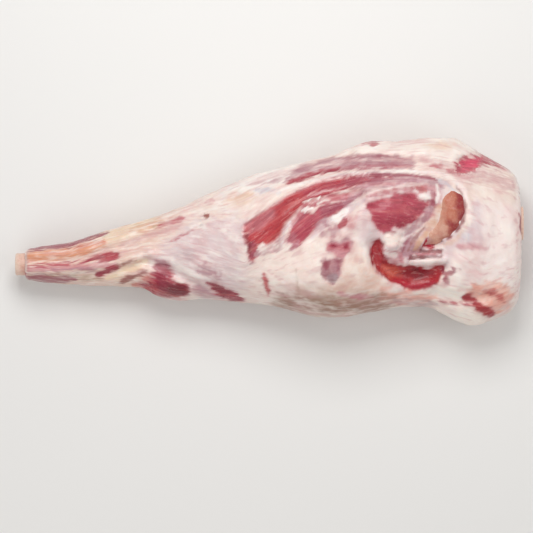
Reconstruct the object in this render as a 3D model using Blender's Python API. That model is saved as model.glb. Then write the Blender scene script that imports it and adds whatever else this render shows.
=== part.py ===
"""A raw leg of lamb with the shank on, lying on its outer side with the inner side up.

The meat is one solid. Three bones show and are solids of their own: the hip bone that lies
open in the hollow of the inner side, its sawn shaft in the cut face of the chump end, and the
sawn shank bone. Metres, +Z up, the shank towards -X. The origin is on the resting face, under
the middle of the leg's length.
"""

import math

import bmesh
import bpy
import numpy as np
from mathutils import Matrix, Vector, noise

MM = 0.001
LEG_LENGTH = 450.0 * MM

# The leg from the shank end to the chump end, in mm: place along it, edge towards -Y, edge
# towards +Y, height of the underside, and height of the crown. A negative underside is meat
# that would sag below the table, and is pressed flat.
STATIONS_MM = (
    (-225, -45, -17, 7, 37),
    (-204, -48, -14, 6, 39),
    (-184, -49.5, -11, 5, 41),
    (-151, -50.5, -1, 3, 45),
    (-119, -53, 9, 1, 50),
    (-104, -61, 13.5, 0, 53),
    (-86, -64, 20.5, -1, 57),
    (-65, -63, 29.5, -2, 62),
    (-32, -65, 44, -3, 71),
    (-11, -67.5, 53, -3, 76),
    (11, -71, 58.5, -3, 81),
    (34, -77.5, 63, -3, 85),
    (61, -79.5, 69, -3, 88),
    (86, -75.5, 80, -3, 89),
    (115, -69.5, 79, -3, 88),
    (142, -69, 83.5, -3, 85),
    (165, -80, 83, -3, 81),
    (180, -87, 74.5, -3, 78),
    (192, -84.5, 69, -3, 75),
    (208, -80, 61, -2, 70),
    (225, -70, 50, -1, 63),
)
STATION_STEP = 1.0 * MM
STATION_SMOOTHING = 5.0 * MM
SMOOTHING_STEPS = 40
WIDEST_SHARE = 0.42  # height of the widest line between underside and crown
CROWN_POWER = 2.05
UNDERSIDE_POWER = 2.5

# The two cut ends: the rounding of their edges, and the half height that it is a share of.
SHANK_EDGE_RADIUS = 4.0 * MM
SHANK_HALF_HEIGHT = 14.0 * MM
CHUMP_EDGE_RADIUS = 11.0 * MM
CHUMP_HALF_HEIGHT = 55.0 * MM
CHUMP_FACE_SWELL = 2.5 * MM
EDGE_STEPS = 8

AROUND = 52
ALONG = 100
CROWDING = 0.28  # how much closer the mesh's lines lie on the inner side than below

# Swells of the inner side, in mm: centre, half length, half width, turn in degrees, height.
SWELLS_MM = (
    ((126, -9), (35, 38), 0, -10),  # the hollow that the hip bone lies in
    ((112, 15), (25, 15), 14, 8.5),  # cut muscle that fills the hollow's upper half
    ((107, -10), (10, 9), 0, 7),  # lump of fat beside it
    ((176, 0), (18, 42), 0, 3),  # fat shoulder of the chump end
    ((174, 60), (10, 7), -15, -5),  # dent in the chump end's upper corner
    ((-96, -51), (16, 9), 0, 3),  # belly of the calf
    ((35, -45), (42, 18), 8, 3),  # round of the silverside
)

# Ridges and grooves of the inner side, in mm: half width, height and the line they follow.
LINES_MM = (
    (15, 3.5, ((-20, -12), (-3, 2), (16, 20), (44, 33), (79, 41))),  # long thigh muscle
    (3.5, -3, ((0, -16), (16, 7), (29, 22), (52, 29), (79, 34))),  # seam below it
    (4, -2.4, ((25, -9), (48, 7), (66, 16), (80, 26))),  # seam of the muscle beside it
    (7, 3, ((75, 4), (81, 22), (97, 36), (120, 43), (147, 45))),  # rim of the hollow
    (6.5, -7, ((91, -15), (95, -29), (108, -39), (124, -43), (140, -40), (150, -34))),
    (4, -4.5, ((130, -21), (139, -16), (149, -12))),  # slit beside the hip bone
    (3.5, 4, ((124, -28), (140, -29), (154, -27))),  # band of fat below the slit
    (5, -3.2, ((62, 62), (90, 67), (115, 66), (140, 66), (158, 62))),  # root of the flap
    (6, -5, ((146, -58), (165, -61), (180, -62), (192, -61))),  # above the tail fat
    (5.5, 3, ((-229, -21), (-184, -20), (-151, -9), (-119, 1), (-83, 16))),  # shank tendon
    (4.5, -2.8, ((-229, -28), (-184, -29), (-148, -18), (-110, -7), (-65, 5))),
    (4.5, 2, ((-229, -37), (-184, -36), (-148, -32), (-112, -22))),
    (3.5, -2, ((-184, -42), (-142, -38), (-114, -30))),
    (5, -3.6, ((-112, -30), (-94, -36), (-70, -49), (-50, -55))),  # fold over the calf
)
# Where that relief fades: by how far up the surface faces, and towards the middle of an end.
RELIEF_FACING = (0.08, 0.5)
RELIEF_RING_SHARE = (0.25, 0.95)
LUMP_HEIGHT = 1.3 * MM
LUMP_SPACING = 38.0 * MM
LUMP_SEED = Vector((3.7, 1.2, 8.4))

# The hip bone's line on the inner side and its radius, in mm.
HIP_BONE_MM = (
    (160, 37, 8),
    (161.5, 28, 10.5),
    (161, 16, 11),
    (155.5, 5, 10),
    (145, -3, 8.5),
    (133, -9, 6.5),
    (120, -15.5, 4.5),
)
HIP_BONE_DEPTH = 3.5 * MM
HIP_BONE_CROWN_SHARE = 0.6
HIP_BONE_LOOK_AHEAD = 2.0 * MM
HIP_BONE_AROUND = 20
HIP_BONE_ALONG = 30

# The sawn bones: the middle of the meat's cut, the way that the bone faces along X, its length
# inside the meat and outside it, its radius, and how that stretches across and up.
SAWN_BONES = {
    "shank_bone": {
        "at": Vector((-225.0, -31.0, 22.0)) * MM,
        "faces": -1.0,
        "root": 22.0 * MM,
        "stands_out": 9.0 * MM,
        "radius": 9.0 * MM,
        "oval": (1.12, 0.94),
    },
    "chump_bone": {
        "at": Vector((225.0, 6.0, 46.0)) * MM,
        "faces": 1.0,
        "root": 12.0 * MM,
        "stands_out": CHUMP_FACE_SWELL,
        "radius": 8.0 * MM,
        "oval": (1.9, 0.85),
    },
}
ROOT_TAPER = 0.92
MARROW_SHARE = 0.48
MARROW_FLOOR_TAPER = 0.8
MARROW_DEPTH = 1.6 * MM
BONE_ROUNDING = 0.8 * MM
BONE_SIDES = 28

GAP = 0.3 * MM  # between a bone and its seat in the meat
CUTTER_REACH = 10.0 * MM
WELD_DISTANCE = 0.01 * MM

RAW_LAMB_COLOUR = (0.62, 0.36, 0.33)
RAW_LAMB_ROUGHNESS = 0.45
SAWN_BONE_COLOUR = (0.68, 0.45, 0.34)
SAWN_BONE_ROUGHNESS = 0.5


def smooth_step(values, start, end):
    """0 before start, 1 after end, and a smooth rise between them."""
    share = np.clip((values - start) / (end - start), 0.0, 1.0)
    return share * share * (3.0 - 2.0 * share)


def station_curves():
    """The stations as smooth curves: places along the leg, and one row of values for each."""
    table = np.array(STATIONS_MM) * MM
    places = np.arange(table[0, 0], table[-1, 0] + STATION_STEP, STATION_STEP)
    offsets = np.arange(-SMOOTHING_STEPS, SMOOTHING_STEPS + 1) * STATION_STEP
    weights = np.exp(-0.5 * (offsets / STATION_SMOOTHING) ** 2)
    weights /= weights.sum()
    curves = []
    for column in table.T[1:]:
        values = np.interp(places, table[:, 0], column)
        slopes = (values[1] - values[0], values[-1] - values[-2])
        before = values[0] - slopes[0] * np.arange(SMOOTHING_STEPS, 0, -1)
        after = values[-1] + slopes[1] * np.arange(1, SMOOTHING_STEPS + 1)
        curves.append(np.convolve(np.concatenate([before, values, after]), weights, "valid"))
    return places, curves


PLACES, (LOWER_EDGE, UPPER_EDGE, UNDERSIDE, CROWN) = station_curves()


def section(x):
    """Middle, half width, height of the widest line, and reach above and below it, at x."""
    lower, upper = np.interp(x, PLACES, LOWER_EDGE), np.interp(x, PLACES, UPPER_EDGE)
    under, crown = np.interp(x, PLACES, UNDERSIDE), np.interp(x, PLACES, CROWN)
    widest = under + WIDEST_SHARE * (crown - under)
    return (lower + upper) / 2, (upper - lower) / 2, widest, crown - widest, widest - under


def along_line(x, y, line):
    """Distance of each point from a line of points, in metres."""
    points = np.array(line) * MM
    nearest = np.full(np.shape(x), np.inf)
    for start, end in zip(points[:-1], points[1:]):
        run = end - start
        share = ((x - start[0]) * run[0] + (y - start[1]) * run[1]) / (run @ run)
        share = np.clip(share, 0.0, 1.0)
        away = np.hypot(x - start[0] - share * run[0], y - start[1] - share * run[1])
        nearest = np.minimum(nearest, away)
    return nearest


def relief(x, y):
    """How far the inner side stands above its plain crown at x, y."""
    height = np.zeros(np.shape(x))
    for (cx, cy), (half_length, half_width), degrees, rise in SWELLS_MM:
        turn = math.radians(degrees)
        dx, dy = x - cx * MM, y - cy * MM
        u = (dx * math.cos(turn) + dy * math.sin(turn)) / (half_length * MM)
        v = (dy * math.cos(turn) - dx * math.sin(turn)) / (half_width * MM)
        height += rise * MM * np.exp(-((u * u + v * v) ** 1.5))
    for half_width, rise, line in LINES_MM:
        height += rise * MM * np.exp(-((along_line(x, y, line) / (half_width * MM)) ** 2))
    return height


def top_height(x, y):
    """Height of the inner side's surface at one point."""
    middle, half_width, widest, above, _ = section(x)
    across = min(abs((y - middle) / half_width), 1.0)
    dome = (1.0 - across**CROWN_POWER) ** (1.0 / CROWN_POWER)
    return float(widest + above * dome + relief(np.array(x), np.array(y)))


def lengthwise_rings(count):
    """Place and size share of each ring, evenly spaced over the two sawn ends and the side."""
    half = LEG_LENGTH / 2
    quarter = np.linspace(0.0, math.pi / 2, EDGE_STEPS)
    shank_x = -half + SHANK_EDGE_RADIUS * (1.0 - np.sin(quarter))
    shank_share = 1.0 - SHANK_EDGE_RADIUS / SHANK_HALF_HEIGHT * (1.0 - np.cos(quarter))
    chump_x = half - CHUMP_EDGE_RADIUS * (1.0 - np.sin(quarter))
    chump_share = 1.0 - CHUMP_EDGE_RADIUS / CHUMP_HALF_HEIGHT * (1.0 - np.cos(quarter))
    xs = np.concatenate([[-half], shank_x[::-1], chump_x, [half + CHUMP_FACE_SWELL]])
    shares = np.concatenate([[0.0], shank_share[::-1], chump_share, [0.0]])
    half_heights = np.where(xs < 0, SHANK_HALF_HEIGHT, CHUMP_HALF_HEIGHT)
    steps = np.hypot(np.diff(xs), np.diff(shares) * half_heights[1:])
    travelled = np.concatenate([[0.0], np.cumsum(steps)])
    wanted = np.linspace(0.0, travelled[-1], count + 1)
    return np.interp(wanted, travelled, xs), np.interp(wanted, travelled, shares)


def ball(around, along):
    """A sphere mesh whose poles lie on X, to be drawn out into a long form."""
    mesh = bmesh.new()
    bmesh.ops.create_uvsphere(mesh, u_segments=around, v_segments=along, radius=1.0)
    bmesh.ops.rotate(mesh, verts=mesh.verts, matrix=Matrix.Rotation(math.pi / 2, 3, "Y"))
    return mesh


def ball_coordinates(mesh):
    """Each vertex's place from pole to pole, 0 to 1, and its angle round X."""
    points = np.array([v.co for v in mesh.verts])
    place = np.arccos(np.clip(-points[:, 0], -1.0, 1.0)) / math.pi
    return place, np.arctan2(points[:, 2], points[:, 1])


def finish_object(mesh, name, collection, material):
    """Turns the bmesh into a named object of the collection."""
    bmesh.ops.recalc_face_normals(mesh, faces=mesh.faces)
    data = bpy.data.meshes.new(name)
    mesh.to_mesh(data)
    mesh.free()
    data.shade_smooth()
    if material:
        data.materials.append(material)
    made = bpy.data.objects.new(name, data)
    collection.objects.link(made)
    return made


def power_wave(wave, power):
    """A sine or cosine, squared off as a superellipse's is."""
    return np.sign(wave) * np.abs(wave) ** (2.0 / power)


def build_meat(collection, material):
    """The meat: a ball drawn out along the stations, with the inner side's relief."""
    mesh = ball(AROUND, ALONG)
    place, angle = ball_coordinates(mesh)
    angle = angle + CROWDING * np.cos(angle)
    ring_x, ring_share = lengthwise_rings(ALONG)
    rings = np.arange(ALONG + 1) / ALONG
    x = np.interp(place, rings, ring_x)
    share = np.interp(place, rings, ring_share)
    middle, half_width, widest, above, below = section(x)
    power = np.where(np.sin(angle) > 0, CROWN_POWER, UNDERSIDE_POWER)
    across = power_wave(np.cos(angle), power)
    up = power_wave(np.sin(angle), power)
    y = middle + share * half_width * across
    z = widest + share * np.where(up > 0, above, below) * up
    facing_up = smooth_step(np.sin(angle), *RELIEF_FACING)
    z += relief(x, y) * facing_up * smooth_step(share, *RELIEF_RING_SHARE)
    for vertex, *point in zip(mesh.verts, x, y, z, middle, widest):
        surface = Vector(point[:3])
        outward = surface - Vector((point[0], *point[3:]))
        lump = noise.noise(surface / LUMP_SPACING + LUMP_SEED) * LUMP_HEIGHT
        vertex.co = surface + outward.normalized() * lump
        vertex.co.z = max(vertex.co.z, 0.0)
    return finish_object(mesh, "leg_meat", collection, material)


def build_hip_bone(name, collection, material, grow=0.0):
    """The open part of the hip bone: a tapered bar along its line, flatter above than below."""
    mesh = ball(HIP_BONE_AROUND, HIP_BONE_ALONG)
    place, angle = ball_coordinates(mesh)
    line = np.array(HIP_BONE_MM) * MM
    heights = [top_height(x, y) - HIP_BONE_DEPTH for x, y, _ in line]
    points = np.column_stack([line[:, :2], heights])
    steps = np.linalg.norm(np.diff(points, axis=0), axis=1)
    marks = np.concatenate([[0.0], np.cumsum(steps)])

    def on_line(travelled):
        """Points at some distance along the bone's line."""
        return np.column_stack([np.interp(travelled, marks, column) for column in points.T])

    # The size follows a quarter circle over the last radius, so that the ends are round.
    travelled = marks[-1] * (1.0 - np.cos(place * math.pi)) / 2
    radius = np.interp(travelled, marks, line[:, 2])
    from_end = np.clip(np.minimum(travelled, marks[-1] - travelled) / radius, 0.0, 1.0)
    size = radius * np.sqrt(1.0 - (1.0 - from_end) ** 2)
    look = HIP_BONE_LOOK_AHEAD
    ahead = on_line(travelled + look) - on_line(travelled - look)
    side = np.column_stack([-ahead[:, 1], ahead[:, 0]])
    side /= np.linalg.norm(side, axis=1)[:, None]
    crown = np.where(np.sin(angle) > 0, HIP_BONE_CROWN_SHARE, 1.0)
    moved = on_line(travelled)
    moved[:, :2] += side * (size * np.cos(angle))[:, None]
    moved[:, 2] += size * crown * np.sin(angle)
    for vertex, point in zip(mesh.verts, moved):
        vertex.co = Vector(point)
    mesh.normal_update()
    for vertex, normal in [(v, v.normal.copy()) for v in mesh.verts]:
        vertex.co += normal * grow
    return finish_object(mesh, name, collection, material)


def build_sawn_bone(name, collection, material, shape, grow=0.0):
    """A sawn bone turned from its profile: the root lies in the meat, the face is sawn flat."""
    radius, length = shape["radius"] + grow, shape["root"] + shape["stands_out"]
    marrow = shape["radius"] * MARROW_SHARE
    profile = [(0.0, -grow), (radius * ROOT_TAPER, -grow), (radius, length / 2)]
    if grow:
        # A cutter runs straight out past the sawn face.
        profile += [(radius, length + CUTTER_REACH), (0.0, length + CUTTER_REACH)]
    else:
        profile += [
            (radius, length - BONE_ROUNDING),
            (radius - BONE_ROUNDING, length),
            (marrow, length),
            (marrow * MARROW_FLOOR_TAPER, length - MARROW_DEPTH),
            (0.0, length - MARROW_DEPTH),
        ]
    mesh = bmesh.new()
    rim = [mesh.verts.new((r, 0.0, z)) for r, z in profile]
    edges = [mesh.edges.new(pair) for pair in zip(rim[:-1], rim[1:])]
    bmesh.ops.spin(
        mesh,
        geom=rim + edges,
        cent=(0.0, 0.0, 0.0),
        axis=(0.0, 0.0, 1.0),
        angle=2 * math.pi,
        steps=BONE_SIDES,
        use_merge=True,
    )
    bmesh.ops.remove_doubles(mesh, verts=mesh.verts, dist=WELD_DISTANCE)
    # The profile's axis turns from Z to the leg's own, and its round becomes the bone's oval.
    across, high = shape["oval"]
    bmesh.ops.scale(mesh, vec=(high, across, 1.0), verts=mesh.verts)
    turn = Matrix.Rotation(math.copysign(math.pi / 2, shape["faces"]), 3, "Y")
    bmesh.ops.rotate(mesh, verts=mesh.verts, matrix=turn)
    root = shape["at"] - Vector((shape["faces"] * shape["root"], 0.0, 0.0))
    bmesh.ops.translate(mesh, vec=root, verts=mesh.verts)
    return finish_object(mesh, name, collection, material)


def new_material(name, colour, roughness):
    """A plain Principled material of one colour, given as linear red, green and blue."""
    material = bpy.data.materials.new(name)
    material.use_nodes = True
    shader = material.node_tree.nodes["Principled BSDF"]
    shader.inputs["Base Color"].default_value = (*colour, 1.0)
    shader.inputs["Roughness"].default_value = roughness
    shader.inputs["Metallic"].default_value = 0.0
    material.diffuse_color = (*colour, 1.0)
    return material


def new_collection(name):
    """A collection of the scene."""
    made = bpy.data.collections.new(name)
    bpy.context.scene.collection.children.link(made)
    return made


def cut(meat, cutter):
    """Cuts a bone's seat out of the meat, and hides the cutter."""
    modifier = meat.modifiers.new(f"seat of {cutter.name}", "BOOLEAN")
    modifier.operation = "DIFFERENCE"
    modifier.solver = "EXACT"
    modifier.object = cutter
    cutter.hide_render = True
    cutter.display_type = "WIRE"


def main():
    """Clears the scene and builds the leg."""
    for old in list(bpy.data.objects):
        bpy.data.objects.remove(old)
    parts, cutters = new_collection("leg_of_lamb"), new_collection("cutters")
    raw_meat = new_material("raw_lamb", RAW_LAMB_COLOUR, RAW_LAMB_ROUGHNESS)
    sawn_bone = new_material("sawn_bone", SAWN_BONE_COLOUR, SAWN_BONE_ROUGHNESS)
    meat = build_meat(parts, raw_meat)
    build_hip_bone("hip_bone", parts, sawn_bone)
    cut(meat, build_hip_bone("hip_bone_seat", cutters, None, GAP))
    for name, shape in SAWN_BONES.items():
        build_sawn_bone(name, parts, sawn_bone, shape)
        cut(meat, build_sawn_bone(f"{name}_seat", cutters, None, shape, GAP))


main()
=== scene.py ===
"""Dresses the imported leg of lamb: its meat, its bones, and a plain pale studio.

The leg lies on its outer side with the inner side up and the shank towards -X. Each class is
one sub-assembly or one finish. Fields are in millimetres, and meshes are in metres.
"""

from __future__ import annotations

import logging
import math
from dataclasses import dataclass
from enum import Enum
from typing import Any, ClassVar

import bmesh
import bpy
import numpy as np
from mathutils import Matrix, Vector, noise

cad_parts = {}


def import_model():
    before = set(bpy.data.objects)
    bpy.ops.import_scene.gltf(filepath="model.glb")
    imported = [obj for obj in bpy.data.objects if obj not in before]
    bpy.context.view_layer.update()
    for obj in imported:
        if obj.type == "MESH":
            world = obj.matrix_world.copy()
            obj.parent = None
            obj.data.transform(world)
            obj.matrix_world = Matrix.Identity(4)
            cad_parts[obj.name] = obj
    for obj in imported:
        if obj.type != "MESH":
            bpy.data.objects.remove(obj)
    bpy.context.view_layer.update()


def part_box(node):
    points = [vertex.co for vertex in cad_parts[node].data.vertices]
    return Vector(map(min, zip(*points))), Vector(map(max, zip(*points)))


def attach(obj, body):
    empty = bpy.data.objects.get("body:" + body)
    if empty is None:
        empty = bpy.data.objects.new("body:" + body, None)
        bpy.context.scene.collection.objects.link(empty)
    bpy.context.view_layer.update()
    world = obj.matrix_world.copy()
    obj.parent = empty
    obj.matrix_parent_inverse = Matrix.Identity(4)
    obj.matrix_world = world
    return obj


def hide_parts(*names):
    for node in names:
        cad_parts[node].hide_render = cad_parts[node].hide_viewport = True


LOG = logging.getLogger("leg_of_lamb")

MM = 0.001
BODY = "root"

Array = np.ndarray
Point = tuple[float, float]
Line = tuple[Point, ...]


class Tissue(Enum):
    """What lies at a surface. The value is how lean it is, from fat at 0 to muscle at 1."""

    FAT = 0.0
    VEIL = 0.45
    LEAN = 1.0


class Tint(Enum):
    """Colours of the raw joint and its studio, as sRGB hex."""

    # fat, from the shank's to the chump's
    SHANK_FAT = "E6C8B8"
    YELLOW_FAT = "EBCFB2"
    TAN_FAT = "DDB090"
    ORANGE_FAT = "E09A78"
    SHADED_FAT = "B79A84"
    WHITE_FAT = "F1E6E0"
    LILAC_FAT = "DCC6C7"
    COOL_FAT = "CFC6CA"
    CREAM_FAT = "F1DCD2"
    # painted shade: fat darkened to brown along the lower edge, where the side turns under, away
    # from the key light
    PEACH_FAT = "E6BFAE"
    SHADED_UNDERSIDE_FAT = "A27866"
    PINK_FAT = "E3B9B7"
    FLAP_FAT = "ECDDD4"
    # painted light: cream fat made brighter than its own colour, standing in for light on the
    # lobes, which turn down, away from the key light
    LIT_LOBE_FAT = "FFF0E4"
    CORAL_FAT = "F3B3A0"
    CHUMP_FAT = "F2E0DA"
    OUTER_FAT = "EBD6CB"
    # silverskin and thin cover over muscle
    MAUVE_VEIL = "B07C86"
    GREY_VEIL = "9C7E86"
    ROSE_VEIL = "CB878D"
    PINK_VEIL = "CF9EA0"
    # muscle
    CORAL_LEAN = "BE3E43"
    CRIMSON_LEAN = "A53044"
    ROSE_LEAN = "B64A5A"
    MAUVE_LEAN = "9C4B5B"
    MAROON_LEAN = "6E1824"
    RED_LEAN = "AA262D"
    BRIGHT_LEAN = "B2142E"
    CLARET_LEAN = "8E1634"
    PINK_LEAN = "DB5670"
    ORANGE_LEAN = "C95743"
    DARK_LEAN = "4E161C"
    BROWN_LEAN = "9A5A50"
    SEAM = "84282A"
    # what varies fat: muscle close below, thick fat, small vessels and silverskin
    BLUSH = "D9A3A2"
    THICK_FAT = "FFF6EC"
    VESSEL = "CC9498"
    SILVERSKIN = "F4EAE6"
    # what varies muscle: bundles, fibres and flecks of fat
    DARK_BUNDLE = "8A2A38"
    BRIGHT_BUNDLE = "DB7A70"
    DARK_FIBRE = "7C2733"
    PALE_FIBRE = "EDBDB4"
    FLECK = "EBC4BD"
    # bone
    PINK_BONE = "B98A8C"
    TAN_BONE = "D29E89"
    ORANGE_BONE = "BC6E56"
    RED_BONE = "93252A"
    PALE_BONE = "E0B8A2"
    HARD_BONE = "EBCDBB"
    BONE_SIDE = "D59A88"
    MARROW = "A84A43"
    BLOOD_STAIN = "B8654E"
    DARK_PORE = "A04A3C"
    PALE_PORE = "F3D9C4"
    # studio
    FLOOR = "E9E7E4"
    WORLD = "FFFFFF"


def linear(digits: str) -> tuple[float, float, float, float]:
    """A colour for a shader.

    Args:
        digits: the sRGB colour as hex digits.

    Returns:
        Linear red, green and blue, and an alpha of 1.
    """
    channels = [int(digits[at : at + 2], 16) / 255 for at in (0, 2, 4)]
    values = [c / 12.92 if c <= 0.04045 else ((c + 0.055) / 1.055) ** 2.4 for c in channels]
    return (*values, 1.0)


def smooth_step(values: Array, start: float, end: float) -> Array:
    """A smooth rise from 0 at start to 1 at end."""
    share = np.clip((values - start) / (end - start), 0.0, 1.0)
    return share * share * (3.0 - 2.0 * share)


def rgb(tint: Tint) -> Array:
    """Linear red, green and blue of a tint, for a mesh's own colours."""
    return np.array(linear(tint.value)[:3])


@dataclass(frozen=True)
class Ripple:
    """Smooth random values in space, the same at each run."""

    FADE: ClassVar[float] = 1.0
    LAYER_RATIO: ClassVar[float] = 2.0

    # width in millimetres of the largest lumps, and an offset that gives a pattern of its own
    spacing: float
    seed: float
    octaves: int = 2
    stretch: tuple[float, float, float] = (1.0, 1.0, 1.0)

    def at(self, points: Array) -> Array:
        """Reads the pattern.

        Args:
            points: one row for each point, in millimetres.

        Returns:
            One value for each point, from about -1 to 1.
        """
        shifted = points * np.array(self.stretch) / self.spacing + self.seed
        settings = (self.FADE, self.LAYER_RATIO, self.octaves)
        return np.array([noise.fractal(Vector(p), *settings) for p in shifted.tolist()])


def distance_to(line: Line, x: Array, y: Array) -> tuple[Array, Array]:
    """How far points lie from a line, and how far along it.

    Args:
        line: the line's points.
        x: first coordinate of the points.
        y: second coordinate of the points.

    Returns:
        The distance, and the place along the line from 0 to 1.
    """
    nearest = np.full(x.shape, np.inf)
    place = np.zeros(x.shape)
    ends = np.array(line, float)
    runs = np.diff(ends, axis=0)
    marks = np.concatenate([[0.0], np.cumsum(np.hypot(runs[:, 0], runs[:, 1]))])
    marks /= marks[-1]
    for index, run in enumerate(runs):
        dx, dy = x - ends[index, 0], y - ends[index, 1]
        share = np.clip((dx * run[0] + dy * run[1]) / (run @ run), 0.0, 1.0)
        away = np.hypot(dx - share * run[0], dy - share * run[1])
        closer = away < nearest
        nearest = np.where(closer, away, nearest)
        along = marks[index] + share * (marks[index + 1] - marks[index])
        place = np.where(closer, along, place)
    return nearest, place


def inside(outline: Line, x: Array, y: Array) -> Array:
    """Whether points lie within a closed outline.

    Args:
        outline: the outline's corners.
        x: first coordinate of the points.
        y: second coordinate of the points.

    Returns:
        True for each point within.
    """
    found = np.zeros(x.shape, bool)
    for (ax, ay), (bx, by) in zip(outline, outline[1:] + outline[:1]):
        if ay != by:
            crosses = (ay > y) != (by > y)
            found ^= crosses & (x < (bx - ax) * (y - ay) / (by - ay) + ax)
    return found


@dataclass(frozen=True)
class Mark:
    """An area of one tint and tissue, drawn on one side of the joint.

    Attributes:
        tint: its colour.
        line: the points that it follows.
        tissue: what lies there.
        strength: its share of the colour, 0 to 1.
        soft: half the width over which its edge fades.
        ragged: how far its edge wanders.
        rise: how far it stands above what is round it.
        mottle: how much of it is broken by specks of what is below, 0 to 1.
        halo: width of the thin veil round it.
    """

    RAGGED_REACH: ClassVar[float] = 2.0

    tint: Tint
    line: Line
    tissue: Tissue = Tissue.FAT
    strength: float = 1.0
    soft: float = 1.3
    ragged: float = 1.5
    rise: float = 0.0
    mottle: float = 0.0
    halo: float = 0.0

    @property
    def margin(self) -> float:
        """How far beyond its line the mark can reach."""
        return self.soft + self.RAGGED_REACH * self.ragged + self.halo

    def depth(self, x: Array, y: Array) -> Array:
        """Millimetres within the mark's edge, negative outside."""
        raise NotImplementedError


@dataclass(frozen=True)
class Patch(Mark):
    """A mark whose line is its closed outline."""

    def depth(self, x: Array, y: Array) -> Array:
        """Millimetres within the outline, negative outside."""
        away, _ = distance_to(self.line + self.line[:1], x, y)
        return np.where(inside(self.line, x, y), away, -away)


@dataclass(frozen=True)
class Streak(Mark):
    """A mark along its line, thin at both ends."""

    BLUNTNESS: ClassVar[int] = 4

    half_width: float = 2.0

    @property
    def margin(self) -> float:
        """How far beyond its line the mark can reach."""
        return self.half_width + super().margin

    def depth(self, x: Array, y: Array) -> Array:
        """How deep points lie within the streak.

        Args:
            x: first coordinate of the points.
            y: second coordinate of the points.

        Returns:
            Millimetres within its edge, negative outside.
        """
        away, place = distance_to(self.line, x, y)
        taper = np.sqrt(np.clip(1.0 - (2.0 * place - 1.0) ** self.BLUNTNESS, 0.0, 1.0))
        return self.half_width * taper - away


@dataclass(frozen=True)
class Swell:
    """A round rise or hollow of the inner side, turned by some degrees."""

    STEEPNESS: ClassVar[float] = 1.5

    centre: Point
    half_size: Point
    turn: float
    rise: float

    def height(self, x: Array, y: Array) -> Array:
        """How far the swell lifts the surface.

        Args:
            x: places along the leg, in metres.
            y: places across it, in metres.

        Returns:
            The rise in metres.
        """
        turn = math.radians(self.turn)
        dx, dy = x / MM - self.centre[0], y / MM - self.centre[1]
        u = (dx * math.cos(turn) + dy * math.sin(turn)) / self.half_size[0]
        v = (dy * math.cos(turn) - dx * math.sin(turn)) / self.half_size[1]
        return self.rise * MM * np.exp(-((u * u + v * v) ** self.STEEPNESS))


@dataclass(frozen=True)
class Crease:
    """A ridge or groove along a line of the inner side."""

    half_width: float
    rise: float
    line: Line

    def height(self, x: Array, y: Array) -> Array:
        """Metres of rise at points given in metres."""
        away, _ = distance_to(self.line, x / MM, y / MM)
        return self.rise * MM * np.exp(-((away / self.half_width) ** 2))


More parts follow.
